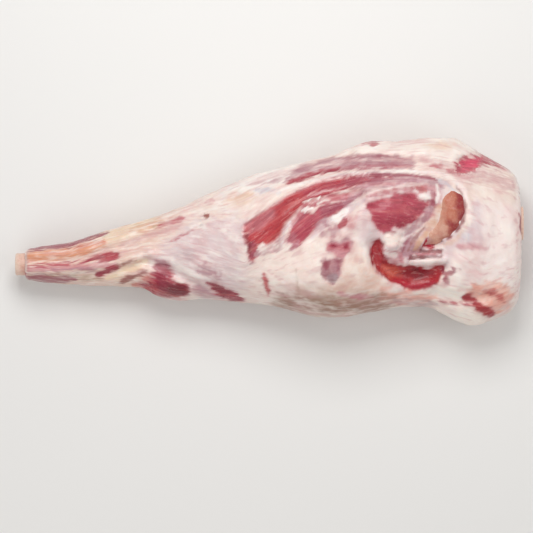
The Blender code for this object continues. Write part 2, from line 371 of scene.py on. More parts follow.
@dataclass
class LegForm:
    """The leg's form, with the sizes of the solid that the meat stands for."""

    length: float = 450.0
    smoothing: float = 5.0
    smoothing_reach: int = 40
    widest_share: float = 0.42
    crown_power: float = 2.05
    underside_power: float = 2.5
    shank_edge_radius: float = 4.0
    chump_edge_radius: float = 11.0
    shank_reach: float = 14.0
    chump_reach: float = 55.0
    chump_face_swell: float = 2.5
    edge_steps: int = 8
    lump_height: float = 1.3
    lump_spacing: float = 38.0
    lump_seed: tuple[float, float, float] = (3.7, 1.2, 8.4)
    # place along the leg, edge towards -Y, edge towards +Y, height of underside and of crown
    stations: tuple[tuple[float, float, float, float, float], ...] = (
        (-225, -45, -17, 7, 37),
        (-204, -48, -14, 6, 39),
        (-184, -49.5, -11, 5, 41),
        (-151, -50.5, -1, 3, 45),
        (-119, -53, 9, 1, 50),
        (-104, -61, 13.5, 0, 53),
        (-86, -64, 20.5, -1, 57),
        (-65, -63, 29.5, -2, 62),
        (-32, -65, 44, -3, 71),
        (-11, -67.5, 53, -3, 76),
        (11, -71, 58.5, -3, 81),
        (34, -77.5, 63, -3, 85),
        (61, -79.5, 69, -3, 88),
        (86, -75.5, 80, -3, 89),
        (115, -69.5, 79, -3, 88),
        (142, -69, 83.5, -3, 85),
        (165, -80, 83, -3, 81),
        (180, -87, 74.5, -3, 78),
        (192, -84.5, 69, -3, 75),
        (208, -80, 61, -2, 70),
        (225, -70, 50, -1, 63),
    )
    swells: tuple[Swell, ...] = (
        Swell((126, -9), (35, 38), 0, -10),  # the hollow that the hip bone lies in
        Swell((112, 15), (25, 15), 14, 8.5),  # cut muscle that fills its upper half
        Swell((107, -10), (10, 9), 0, 7),  # lump of fat beside it
        Swell((176, 0), (18, 42), 0, 3),  # fat shoulder of the chump end
        Swell((174, 60), (10, 7), -15, -5),  # dent in the chump end's upper corner
        Swell((-96, -51), (16, 9), 0, 3),  # belly of the calf
        Swell((35, -45), (42, 18), 8, 3),  # round of the silverside
    )
    creases: tuple[Crease, ...] = (
        Crease(15, 3.5, ((-20, -12), (-3, 2), (16, 20), (44, 33), (79, 41))),
        Crease(3.5, -3, ((0, -16), (16, 7), (29, 22), (52, 29), (79, 34))),
        Crease(4, -2.4, ((25, -9), (48, 7), (66, 16), (80, 26))),
        Crease(7, 3, ((75, 4), (81, 22), (97, 36), (120, 43), (147, 45))),
        Crease(6.5, -7, ((91, -15), (95, -29), (108, -39), (124, -43), (140, -40), (150, -34))),
        Crease(4, -4.5, ((130, -21), (139, -16), (149, -12))),
        Crease(3.5, 4, ((124, -28), (140, -29), (154, -27))),
        Crease(5, -3.2, ((62, 62), (90, 67), (115, 66), (140, 66), (158, 62))),
        Crease(6, -5, ((146, -58), (165, -61), (180, -62), (192, -61))),
        Crease(5.5, 3, ((-229, -21), (-184, -20), (-151, -9), (-119, 1), (-83, 16))),
        Crease(4.5, -2.8, ((-229, -28), (-184, -29), (-148, -18), (-110, -7), (-65, 5))),
        Crease(4.5, 2, ((-229, -37), (-184, -36), (-148, -32), (-112, -22))),
        Crease(3.5, -2, ((-184, -42), (-142, -38), (-114, -30))),
        Crease(5, -3.6, ((-112, -30), (-94, -36), (-70, -49), (-50, -55))),
    )

    def __post_init__(self) -> None:
        """Works out the smooth curves through the stations."""
        table = np.array(self.stations) * MM
        reach = self.smoothing_reach
        self.places = np.arange(table[0, 0], table[-1, 0] + MM, MM)
        weights = np.exp(-0.5 * (np.arange(-reach, reach + 1) / self.smoothing) ** 2)
        weights /= weights.sum()
        self.curves: list[Array] = []
        for column in table.T[1:]:
            values = np.interp(self.places, table[:, 0], column)
            first, last = values[1] - values[0], values[-1] - values[-2]
            before = values[0] - first * np.arange(reach, 0, -1)
            after = values[-1] + last * np.arange(1, reach + 1)
            padded = np.concatenate([before, values, after])
            self.curves.append(np.convolve(padded, weights, "valid"))

    def section(self, x: Array) -> tuple[Array, Array, Array, Array, Array]:
        """The cross-section at places along the leg.

        Args:
            x: places along the leg, in metres.

        Returns:
            Middle, half width, height of the widest line, and reach above and below it.
        """
        lower, upper, under, crown = (np.interp(x, self.places, c) for c in self.curves)
        widest = under + self.widest_share * (crown - under)
        return (lower + upper) / 2, (upper - lower) / 2, widest, crown - widest, widest - under

    def relief(self, x: Array, y: Array) -> Array:
        """How far the inner side stands above its plain crown, in metres."""
        return sum(part.height(x, y) for part in (*self.swells, *self.creases))

    def top_height(self, x: Array, y: Array) -> Array:
        """Height of the inner side's surface.

        Args:
            x: places along the leg, in metres.
            y: places across it, in metres.

        Returns:
            The height in metres.
        """
        middle, half_width, widest, above, _ = self.section(x)
        across = np.clip(np.abs((y - middle) / half_width), 0.0, 1.0)
        dome = (1.0 - across**self.crown_power) ** (1.0 / self.crown_power)
        return widest + above * dome + self.relief(x, y)

    def rings(self, count: int) -> tuple[Array, Array]:
        """Place and size share of rings, evenly spaced over both ends and the side.

        Args:
            count: how many steps there are from pole to pole.

        Returns:
            The rings' places in metres, and their sizes as shares of the section.
        """
        half = self.length * MM / 2
        quarter = np.linspace(0.0, math.pi / 2, self.edge_steps)
        sine, cosine = np.sin(quarter), np.cos(quarter)
        shank_x = -half + self.shank_edge_radius * MM * (1.0 - sine)
        shank_share = 1.0 - self.shank_edge_radius / self.shank_reach * (1.0 - cosine)
        chump_x = half - self.chump_edge_radius * MM * (1.0 - sine)
        chump_share = 1.0 - self.chump_edge_radius / self.chump_reach * (1.0 - cosine)
        last = half + self.chump_face_swell * MM
        xs = np.concatenate([[-half], shank_x[::-1], chump_x, [last]])
        shares = np.concatenate([[0.0], shank_share[::-1], chump_share, [0.0]])
        reach = np.where(xs < 0, self.shank_reach, self.chump_reach) * MM
        steps = np.hypot(np.diff(xs), np.diff(shares) * reach[1:])
        travelled = np.concatenate([[0.0], np.cumsum(steps)])
        wanted = np.linspace(0.0, travelled[-1], count + 1)
        return np.interp(wanted, travelled, xs), np.interp(wanted, travelled, shares)


@dataclass(frozen=True)
class Grain:
    """Lines that the fibres follow from the shank to the chump: their Y at each place."""

    places: tuple[float, ...] = (
        *(-230, -184, -150, -119, -86, -55, -25),
        *(10, 45, 80, 115, 150, 190, 228),
    )
    lines: tuple[tuple[float, ...], ...] = (
        (-46, -51, -52, -54, -65, -65, -67, -72, -79, -78, -71, -73, -86, -71),
        (-40, -45, -44, -40, -48, -54, -57, -60, -62, -60, -57, -57, -62, -50),
        (-34, -38, -33, -24, -24, -32, -38, -24, -4, 8, 0, -12, -32, -26),
        (-31, -28, -18, -12, -10, -16, -28, -3, 29, 41, 44, 44, 38, 30),
        (-22, -19, -8, 0, 5, 6, 2, 28, 43, 50, 51, 50, 50, 42),
        (-18, -14, -4, 5, 14, 22, 28, 44, 55, 60, 61, 62, 57, 46),
        (-15, -9, 1, 11, 23, 36, 48, 60, 68, 80, 81, 85, 71, 52),
    )
    line_gap: float = 18.0

    def across(self, x: Array, y: Array) -> Array:
        """Where points lie across the fibres.

        Args:
            x: places along the leg, in millimetres.
            y: places across it, in millimetres.

        Returns:
            A measure in millimetres that stays the same along a fibre.
        """
        heights = np.array([np.interp(x, self.places, line) for line in self.lines])
        across = np.zeros(x.shape)
        for lower, upper in zip(heights[:-1], heights[1:]):
            across += np.clip((y - lower) / (upper - lower), 0.0, 1.0)
        return across * self.line_gap


# Marks on the inner side, seen from above, X along the leg and Y across it. Later ones lie
# over earlier ones.
GROUND_MARKS: tuple[Mark, ...] = (
    Patch(
        Tint.SHANK_FAT,
        ((-240, -60), (-240, 10), (-150, 15), (-90, 30), (-84, 5), (-112, -30), (-118, -70)),
        soft=12, ragged=5,
    ),
    Patch(
        Tint.LILAC_FAT,
        ((-112, -30), (-78, 8), (-50, 10), (-22, 12), (-24, -30), (-8, -50), (-60, -66)),
        soft=10, ragged=6, strength=0.8,
    ),
    Patch(
        Tint.CREAM_FAT,
        ((-20, -68), (-22, -38), (10, -16), (36, -12), (46, -30), (62, -48), (96, -40), (92, -76)),
        soft=9, ragged=4,
    ),
    Patch(
        Tint.PEACH_FAT,
        ((62, -24), (78, -22), (90, -34), (98, -48), (94, -62), (62, -60), (44, -58), (58, -44)),
        soft=8, ragged=4, strength=0.9,
    ),
    # Painted shade: a brown band along the lower edge, where the side turns under, away from the
    # key light.
    Streak(
        Tint.SHADED_UNDERSIDE_FAT, ((0, -66), (22, -67), (50, -68.5), (86, -68), (108, -66)),
        half_width=9, soft=8, ragged=2,
    ),
    Patch(
        Tint.SHADED_FAT,
        ((20, -48), (40, -52), (58, -56), (82, -58), (80, -66), (50, -68), (24, -64)),
        soft=8, ragged=2, strength=0.3,
    ),
    Patch(
        Tint.WHITE_FAT,
        ((-52, 24), (-40, 42), (-6, 58), (34, 66), (20, 48), (-4, 34), (-24, 24), (-40, 18)),
        soft=7, ragged=4,
    ),
    Patch(
        Tint.CHUMP_FAT,
        ((150, -20), (166, -8), (180, 30), (230, 20), (230, -60), (190, -52), (160, -50)),
        soft=8, ragged=4,
    ),
    Patch(
        Tint.LILAC_FAT, ((162, -14), (170, 20), (184, 24), (192, -8), (188, -20)),
        soft=6, ragged=4, strength=0.9,
    ),
    Patch(
        Tint.COOL_FAT, ((164, -4), (166, 8), (176, 6), (178, -6), (172, -12)),
        soft=5, ragged=3, strength=0.8,
    ),
)

SHANK_MARKS: tuple[Mark, ...] = (
    Streak(Tint.YELLOW_FAT, ((-168, -9), (-140, -3), (-119, 3), (-104, 8)), soft=4, half_width=6),
    Streak(
        Tint.ORANGE_FAT, ((-232, -26), (-184, -21), (-167, -15), (-150, -11)),
        soft=2, half_width=5.5,
    ),
    Streak(
        Tint.ORANGE_LEAN, ((-180, -16), (-166, -12.5), (-151, -10.5)),
        strength=0.5, half_width=2.2,
    ),
    Streak(Tint.CREAM_FAT, ((-174, -12), (-164, -9.5), (-154, -8)), strength=0.8, half_width=1.3),
    Streak(
        Tint.MAUVE_LEAN, ((-232, -18), (-184, -13), (-165, -6), (-149, -2)), Tissue.LEAN,
        strength=0.95, half_width=2.8,
    ),
    Streak(Tint.TAN_FAT, ((-130, -1), (-113, 3.5), (-96, 8)), strength=0.9, half_width=3.6),
    Streak(Tint.SHADED_FAT, ((-108, 3), (-97, 6)), strength=0.6, half_width=1.8),
    Streak(
        Tint.ROSE_LEAN, ((-104, 3), (-92, 7), (-79, 11)), Tissue.VEIL,
        strength=0.8, soft=1.8, half_width=2.4,
    ),
    Streak(
        Tint.PINK_VEIL, ((-138, -14), (-118, -8), (-98, -1), (-80, 6)), Tissue.VEIL,
        strength=0.55, soft=2.5, half_width=3,
    ),
    Streak(
        Tint.ROSE_VEIL, ((-232, -36), (-184, -33.5), (-158, -32), (-140, -31)), Tissue.VEIL,
        strength=0.8, soft=2, half_width=3.6,
    ),
    Streak(
        Tint.ROSE_LEAN, ((-232, -33), (-184, -31), (-160, -27)), Tissue.LEAN,
        strength=0.85, half_width=1.5,
    ),
    Patch(
        Tint.CRIMSON_LEAN,
        (
            *((-174, -28), (-164, -24), (-155, -20), (-146, -19), (-139, -20)),
            *((-139, -26), (-148, -29), (-160, -28.5)),
        ),
        Tissue.LEAN,
        strength=0.82, rise=-0.7, soft=1.8, halo=4,
    ),
    Patch(
        Tint.BRIGHT_LEAN, ((-154, -21), (-146, -20), (-141, -21), (-141, -25), (-150, -26)),
        Tissue.LEAN,
        strength=0.55, soft=2,
    ),
    Streak(
        Tint.MAUVE_VEIL, ((-200, -35.5), (-172, -35), (-152, -36)), Tissue.VEIL,
        strength=0.75, half_width=1.3,
    ),
    Streak(
        Tint.SHADED_FAT, ((-228, -42), (-176, -43), (-152, -44)),
        strength=0.8, soft=2, half_width=2.8,
    ),
    Streak(
        Tint.MAUVE_LEAN, ((-232, -43), (-190, -45), (-177, -45)), Tissue.VEIL,
        strength=0.85, half_width=3.4,
    ),
    Streak(Tint.YELLOW_FAT, ((-152, -44), (-132, -37), (-112, -28)), soft=2, half_width=3.8),
    Streak(
        Tint.CRIMSON_LEAN, ((-160, -41.5), (-150, -37.5), (-139, -33)), Tissue.LEAN,
        strength=0.95, half_width=2.6, halo=3,
    ),
    Streak(
        Tint.BROWN_LEAN, ((-141, -33), (-132, -29.5), (-122, -25)), Tissue.VEIL,
        strength=0.8, mottle=0.5, half_width=1.6,
    ),
    Streak(
        Tint.BROWN_LEAN, ((-138, -47.5), (-125, -42), (-112, -36)), Tissue.VEIL,
        strength=0.95, half_width=2.3,
    ),
    Streak(
        Tint.ORANGE_LEAN, ((-128, -51), (-114, -47), (-104, -40)), Tissue.VEIL,
        strength=0.75, soft=2.5, half_width=4.2,
    ),
    Patch(
        Tint.WHITE_FAT, ((-88, -34), (-80, -30), (-70, -36), (-68, -46), (-84, -46)),
        strength=0.6, soft=4,
    ),
    Patch(
        Tint.CRIMSON_LEAN,
        (
            *((-107, -37), (-104, -30), (-94, -31), (-91, -41), (-88, -48), (-76, -49), (-74, -56)),
            *((-84, -62), (-101, -62), (-113, -56), (-120, -53), (-118, -48), (-108, -46)),
        ),
        Tissue.LEAN,
        rise=-1.0, soft=2.4, ragged=2.2, halo=6,
    ),
    Patch(
        Tint.MAUVE_VEIL, ((-107, -38), (-105, -27), (-93, -28), (-91, -37)), Tissue.VEIL,
        strength=0.65, soft=3,
    ),
    Patch(
        Tint.BRIGHT_LEAN, ((-118, -54), (-110, -47), (-102, -46), (-100, -58), (-108, -61)),
        Tissue.LEAN,
        strength=0.85, soft=3,
    ),
    Patch(
        Tint.CLARET_LEAN,
        ((-104, -40), (-95, -37), (-92, -48), (-95, -58), (-102, -58), (-105, -48)), Tissue.LEAN,
        strength=0.9, soft=3,
    ),
    Patch(
        Tint.MAROON_LEAN,
        ((-95, -50), (-86, -48.5), (-76, -50.5), (-76, -57), (-84, -60), (-96, -59)), Tissue.LEAN,
        strength=0.85, soft=3.5,
    ),
    Streak(Tint.PINK_FAT, ((-104, -63), (-90, -65), (-72, -64)), strength=0.8, half_width=2.0),
    Patch(
        Tint.MAUVE_VEIL, ((-76, -50), (-70, -58), (-52, -62), (-46, -60), (-58, -52), (-66, -48)),
        Tissue.VEIL,
        strength=0.7, soft=2.5,
    ),
    Patch(
        Tint.CRIMSON_LEAN,
        (
            *((-59, -48), (-50, -48.5), (-41, -53), (-32, -58), (-26, -63)),
            *((-36, -65), (-45, -61), (-54, -55)),
        ),
        Tissue.LEAN,
        rise=-0.6, halo=4,
    ),
    Patch(
        Tint.MAROON_LEAN, ((-57, -50), (-48, -50), (-38, -57), (-44, -60), (-53, -54)),
        Tissue.LEAN,
        strength=0.5, soft=2,
    ),
    Patch(
        Tint.MAUVE_VEIL, ((-72, -32), (-60, -29), (-47, -33), (-43, -42), (-54, -46), (-68, -41)),
        Tissue.VEIL,
        strength=0.7, soft=2, ragged=3, mottle=0.75,
    ),
    Patch(
        Tint.GREY_VEIL, ((-90, -24), (-80, -17), (-70, -20), (-70, -30), (-82, -31)), Tissue.VEIL,
        strength=0.35, soft=5,
    ),
    Patch(
        Tint.PINK_VEIL, ((-72, -6), (-66, 2), (-58, -8), (-60, -28), (-68, -26)), Tissue.VEIL,
        strength=0.35, soft=4, mottle=0.4,
    ),
    Streak(
        Tint.ROSE_LEAN, ((-92, -10), (-80, -4.5), (-68, 2)), Tissue.VEIL,
        strength=0.7, soft=1.0, ragged=1.0, mottle=0.6, half_width=1.2,
    ),
    Streak(
        Tint.BROWN_LEAN, ((-62, 13), (-59, 13.5), (-57, 13.5)), Tissue.VEIL,
        soft=0.9, ragged=1.5, half_width=2.2,
    ),
    Streak(Tint.GREY_VEIL, ((-65.5, 4), (-62, 5)), soft=0.9, ragged=1.0, half_width=1.6),
    Streak(Tint.ROSE_VEIL, ((-60, 25), (-56, 26), (-52, 27)), strength=0.6, half_width=2.0),
)

MUSCLE_MARKS: tuple[Mark, ...] = (
    Patch(
        Tint.TAN_FAT, ((-46, 24), (-38, 32), (-20, 37), (-16, 30), (-30, 22)),
        strength=0.7, soft=5, ragged=3,
    ),
    Streak(Tint.COOL_FAT, ((-16, 36), (-4, 35.5), (8, 33.5)), soft=1.5, half_width=2.4),
    Streak(
        Tint.PINK_VEIL, ((-24, 40), (8, 50), (40, 61), (60, 65)), Tissue.VEIL,
        strength=0.6, soft=2, half_width=2.4,
    ),
    Streak(
        Tint.MAUVE_VEIL, ((-10, 40), (6, 45), (22, 51), (36, 56)), Tissue.VEIL,
        strength=0.6, soft=1.5, half_width=1.6,
    ),
    Patch(
        Tint.MAUVE_VEIL,
        (
            *((12, 48), (25, 56), (43, 63), (66, 67), (90, 67.5), (114, 67.5), (127, 66)),
            *((129, 60), (126, 54), (97, 54), (66, 54), (43, 52), (25, 48), (10, 43)),
        ),
        Tissue.VEIL,
        strength=0.95, rise=-0.6, soft=1.8, mottle=0.15,
    ),
    Streak(
        Tint.MAUVE_LEAN, ((60, 65.5), (84, 66.5), (104, 66.5), (126, 65)), Tissue.LEAN,
        strength=0.45, soft=0.9, half_width=1.2,
    ),
    Streak(
        Tint.PINK_FAT, ((36, 57), (66, 62.5), (92, 63), (122, 62.5)),
        strength=0.5, soft=0.9, half_width=1.0,
    ),
    Patch(
        Tint.ROSE_LEAN,
        (
            *((36, 50), (52, 54), (70, 58), (90, 59.5), (111, 59.5), (124, 57.5)),
            *((111, 55), (88, 55), (66, 54), (43, 50)),
        ),
        Tissue.LEAN,
        strength=0.42, rise=-0.4, mottle=0.3,
    ),
    Patch(
        Tint.CRIMSON_LEAN,
        (
            *((12, 41), (16, 45), (28, 49.5), (44, 54), (62, 57)),
            *((60, 54), (42, 49.5), (26, 43.5)),
        ),
        Tissue.LEAN,
        strength=0.95, rise=-0.6, halo=2.5,
    ),
    Streak(
        Tint.WHITE_FAT,
        ((-9, 30), (12, 37), (34, 43), (57, 48.6), (79, 51), (115, 52), (150, 51)),
        soft=1.0, ragged=0.8, half_width=1.5, rise=0.5,
    ),
    Patch(
        Tint.PINK_VEIL,
        ((84, 42), (94, 47), (118, 49), (146, 48), (160, 40), (150, 36), (128, 38), (106, 36)),
        Tissue.VEIL,
        strength=0.9, soft=3,
    ),
    Patch(
        Tint.CORAL_LEAN,
        (
            *((-26, -3), (-24, 4), (-18, 10), (-9, 15), (0, 21), (8, 26), (16, 31.5), (25, 36)),
            *((36, 41), (48, 44), (61, 47), (74, 48.5), (90, 49), (106, 48), (108, 46), (90, 43)),
            *((77, 39.5), (66, 36), (57, 33), (45, 29), (36, 26), (28, 22.5), (21, 17), (14, 9)),
            *((8, -1), (3, -10), (-4, -15), (-9, -12.5), (-13, -15), (-13.5, -23), (-17, -28)),
            *((-21, -25), (-22.5, -14)),
        ),
        Tissue.LEAN,
        rise=-1.3, soft=1.4, ragged=1.2, halo=4,
    ),
    Patch(
        Tint.RED_LEAN,
        ((-6, 13), (8, 24), (24, 34), (34, 34), (30, 24), (18, 14), (8, -2), (0, 0)), Tissue.LEAN,
        strength=0.6, soft=5, ragged=2.5,
    ),
    Patch(
        Tint.CRIMSON_LEAN, ((26, 36), (50, 45), (96, 50), (96, 44), (66, 36), (45, 29), (28, 22)),
        Tissue.LEAN,
        strength=0.8, soft=5, ragged=2.5,
    ),
    Patch(
        Tint.MAUVE_LEAN, ((60, 49), (108, 50), (110, 45), (88, 42), (68, 36)), Tissue.LEAN,
        strength=0.65, soft=5, ragged=2.5,
    ),
    Patch(
        Tint.ROSE_VEIL, ((-24, 6), (-10, 15), (2, 20), (2, 10), (-10, 0), (-22, -4)), Tissue.LEAN,
        strength=0.6, soft=3,
    ),
    Patch(
        Tint.MAUVE_LEAN, ((-23, -12), (-16, -12), (-12, -22), (-17, -29), (-22, -25)),
        Tissue.LEAN,
        strength=0.75, soft=2, ragged=2,
    ),
    Streak(
        Tint.MAROON_LEAN, ((-25, -2), (-22, -10), (-20, -22)), Tissue.LEAN,
        strength=0.6, soft=1.5, half_width=1.5,
    ),
    Streak(
        Tint.MAUVE_VEIL, ((-14, -23), (-5, -21), (5, -16), (11, -6)), Tissue.VEIL,
        strength=0.65, soft=2, ragged=2.5, mottle=0.5, half_width=3,
    ),
    Streak(
        Tint.PINK_FAT, ((30, 30), (48, 35), (68, 39.5)),
        strength=0.65, soft=0.9, ragged=1.2, mottle=0.4, half_width=1.2,
    ),
    Streak(
        Tint.MAUVE_LEAN, ((84, 49.5), (106, 49), (122, 48), (138, 46.5), (152, 43.5)),
        Tissue.LEAN,
        strength=0.9, soft=0.9, ragged=0.6, half_width=1.7,
    ),
    Patch(
        Tint.ROSE_LEAN,
        (
            *((13, -12), (14, -4), (17, 4), (22.5, 11), (29, 14.5), (37, 15), (43, 21), (52, 24)),
            *((63, 27), (76, 33), (80, 30), (72, 23), (66, 19), (57, 14), (45, 9), (39, 3.5)),
            *((36, -2), (32, -7), (25, -13), (18, -15)),
        ),
        Tissue.LEAN,
        rise=-1.2, soft=1.4, ragged=1.8, halo=4,
    ),
    Patch(
        Tint.MAUVE_LEAN, ((42, 20), (63, 28), (80, 33), (72, 22), (57, 13), (45, 9)), Tissue.LEAN,
        strength=0.8, soft=4, ragged=2,
    ),
    Patch(
        Tint.MAUVE_VEIL, ((60, 27), (76, 33), (90, 38), (84, 29), (66, 18)), Tissue.VEIL,
        strength=0.65, soft=3, ragged=2,
    ),
    Patch(
        Tint.MAUVE_VEIL, ((12, -14), (13, -4), (19, -1), (24, -12), (18, -16)), Tissue.VEIL,
        strength=0.6, soft=2, ragged=2.5, mottle=0.5,
    ),
    Streak(
        Tint.ROSE_VEIL,
        ((11, -12), (17, 3.5), (25, 14), (39, 22.5), (57, 27), (70, 32), (86, 39)), Tissue.VEIL,
        strength=0.8, soft=1.1, ragged=1.2, half_width=1.7,
    ),
    Streak(
        Tint.LILAC_FAT, ((8, -14), (11.5, -3), (16.5, 7)),
        soft=1.0, ragged=1.2, half_width=1.6, rise=0.4,
    ),
    Patch(
        Tint.ROSE_LEAN,
        (
            *((21.5, 14.5), (29, 22), (40, 27), (52, 31), (66, 34.5)),
            *((66, 27), (52, 24.5), (41, 20.5), (31, 14.5), (23.5, 7)),
        ),
        Tissue.LEAN,
        strength=0.75, soft=1.8, mottle=0.35,
    ),
    Streak(
        Tint.WHITE_FAT, ((26, 16), (32, 18.5), (38, 19.5)),
        soft=0.7, ragged=1.2, mottle=0.2, half_width=1.8, rise=0.5,
    ),
    Streak(
        Tint.WHITE_FAT, ((40, 22.5), (46, 25.5), (52, 26.5)),
        soft=0.7, ragged=1.0, mottle=0.3, half_width=1.3, rise=0.4,
    ),
    Streak(Tint.WHITE_FAT, ((28, 24), (35, 27), (44, 29)), soft=0.7, mottle=0.5, half_width=1.1),
    # Painted highlight: a small raised white fleck that stands for the glint of light on the wet
    # muscle.
    Streak(
        Tint.WHITE_FAT, ((-12, -17), (-9, -14), (-6, -14)),
        soft=0.8, ragged=1.6, half_width=2.0, rise=0.5,
    ),
    Streak(
        Tint.LILAC_FAT, ((34, -9), (48, 4.5), (66, 15), (78, 24), (90, 33)),
        strength=0.85, soft=1.5, half_width=3.0,
    ),
    Patch(
        Tint.MAUVE_VEIL, ((42, 8), (50, 9), (59, 3), (60, -5), (54, -9), (44, -8), (39, 0)),
        Tissue.VEIL,
        strength=0.8, soft=1.8, ragged=3, mottle=0.55,
    ),
    Patch(
        Tint.ROSE_VEIL, ((66, 13), (75, 14), (84, 7), (82, -2), (70, -3), (64, 3)), Tissue.VEIL,
        strength=0.75, soft=2.5, ragged=2.5, mottle=0.25,
    ),
    Patch(
        Tint.WHITE_FAT, ((66, -1), (74, 1), (88, -2), (91, -9), (80, -11), (68, -8)),
        strength=0.85, soft=2, ragged=2,
    ),
    Streak(
        Tint.WHITE_FAT, ((52, 7), (58, 10), (63, 14), (68, 18)),
        soft=0.9, ragged=1.6, half_width=3.4, rise=0.8,
    ),
    Streak(
        Tint.CRIMSON_LEAN, ((59.5, 1.5), (63, 5), (66.5, 10)), Tissue.LEAN,
        strength=0.85, soft=0.9, ragged=1.2, half_width=2.3,
    ),
    Patch(
        Tint.MAUVE_VEIL,
        (
            *((49, -13), (52, -8), (58, -9), (62, -6.5), (68, -8), (72, -12)),
            *((70, -17), (71, -21), (65, -22), (61, -26), (56, -22), (50, -21)),
        ),
        Tissue.LEAN,
        strength=0.85, ragged=2.2, mottle=0.2, rise=-0.4, halo=5,
    ),
    Patch(
        Tint.ROSE_VEIL,
        ((49, -12), (56, -10.5), (68, -12), (69, -19), (62, -26), (55, -24), (49, -19)),
        Tissue.LEAN,
        strength=0.85, soft=2, ragged=1.5,
    ),
    Patch(
        Tint.ROSE_LEAN, ((50, -13), (58, -12), (69, -11.5), (69, -18), (60, -18), (52, -19)),
        Tissue.LEAN,
        strength=0.6, soft=2, ragged=1.5,
    ),
    Patch(
        Tint.CLARET_LEAN, ((52, -13.5), (55, -12.5), (58.5, -14), (58, -16.5), (53, -16.5)),
        Tissue.LEAN,
        strength=0.9, ragged=1.8, rise=-0.3,
    ),
    Patch(
        Tint.CLARET_LEAN, ((64, -13.5), (67, -12.5), (67.5, -17), (65, -18.5), (63.5, -16.5)),
        Tissue.LEAN,
        strength=0.85, ragged=1.8, rise=-0.3,
    ),
    Patch(
        Tint.MAUVE_VEIL,
        (
            *((43, -28), (48, -25.5), (54, -27), (59, -25), (63, -28), (62, -34)),
            *((64, -39), (59, -44), (54, -48), (48, -45), (47, -39), (43, -36)),
        ),
        Tissue.LEAN,
        strength=0.85, ragged=2.6, mottle=0.25, rise=-0.4, halo=4,
    ),
    Patch(
        Tint.MAUVE_LEAN, ((44, -29), (47.5, -27), (51, -29), (51.5, -33), (48, -35), (44.5, -33)),
        Tissue.LEAN,
        strength=0.85, ragged=2.2, mottle=0.2,
    ),
    Patch(
        Tint.MAUVE_LEAN,
        ((57, -28), (60, -26.5), (62, -30), (61, -34), (62, -37), (58, -37), (57.5, -32)),
        Tissue.LEAN,
        strength=0.8, ragged=1.8, mottle=0.2,
    ),
    Patch(
        Tint.GREY_VEIL, ((49, -43), (53, -40.5), (59, -41), (58, -46), (53, -47), (50, -46)),
        Tissue.VEIL,
        strength=0.85, ragged=1.8,
    ),
    Streak(
        Tint.CORAL_LEAN, ((-8, -38), (-5.5, -48), (-3, -59)), Tissue.LEAN,
        strength=0.85, ragged=1.0, half_width=1.9, halo=2,
    ),
    Streak(
        Tint.SHADED_FAT, ((21, -34), (22.5, -46), (24, -58)),
        strength=0.5, half_width=1.2,
    ),
    Streak(
        Tint.ROSE_VEIL, ((58, -57), (75, -59.5), (92, -60)), Tissue.VEIL,
        strength=0.85, half_width=2.2,
    ),
    Streak(
        Tint.BROWN_LEAN, ((4, -57), (16, -60), (34, -62)), Tissue.VEIL,
        strength=0.5, mottle=0.5, half_width=1.4,
    ),
)

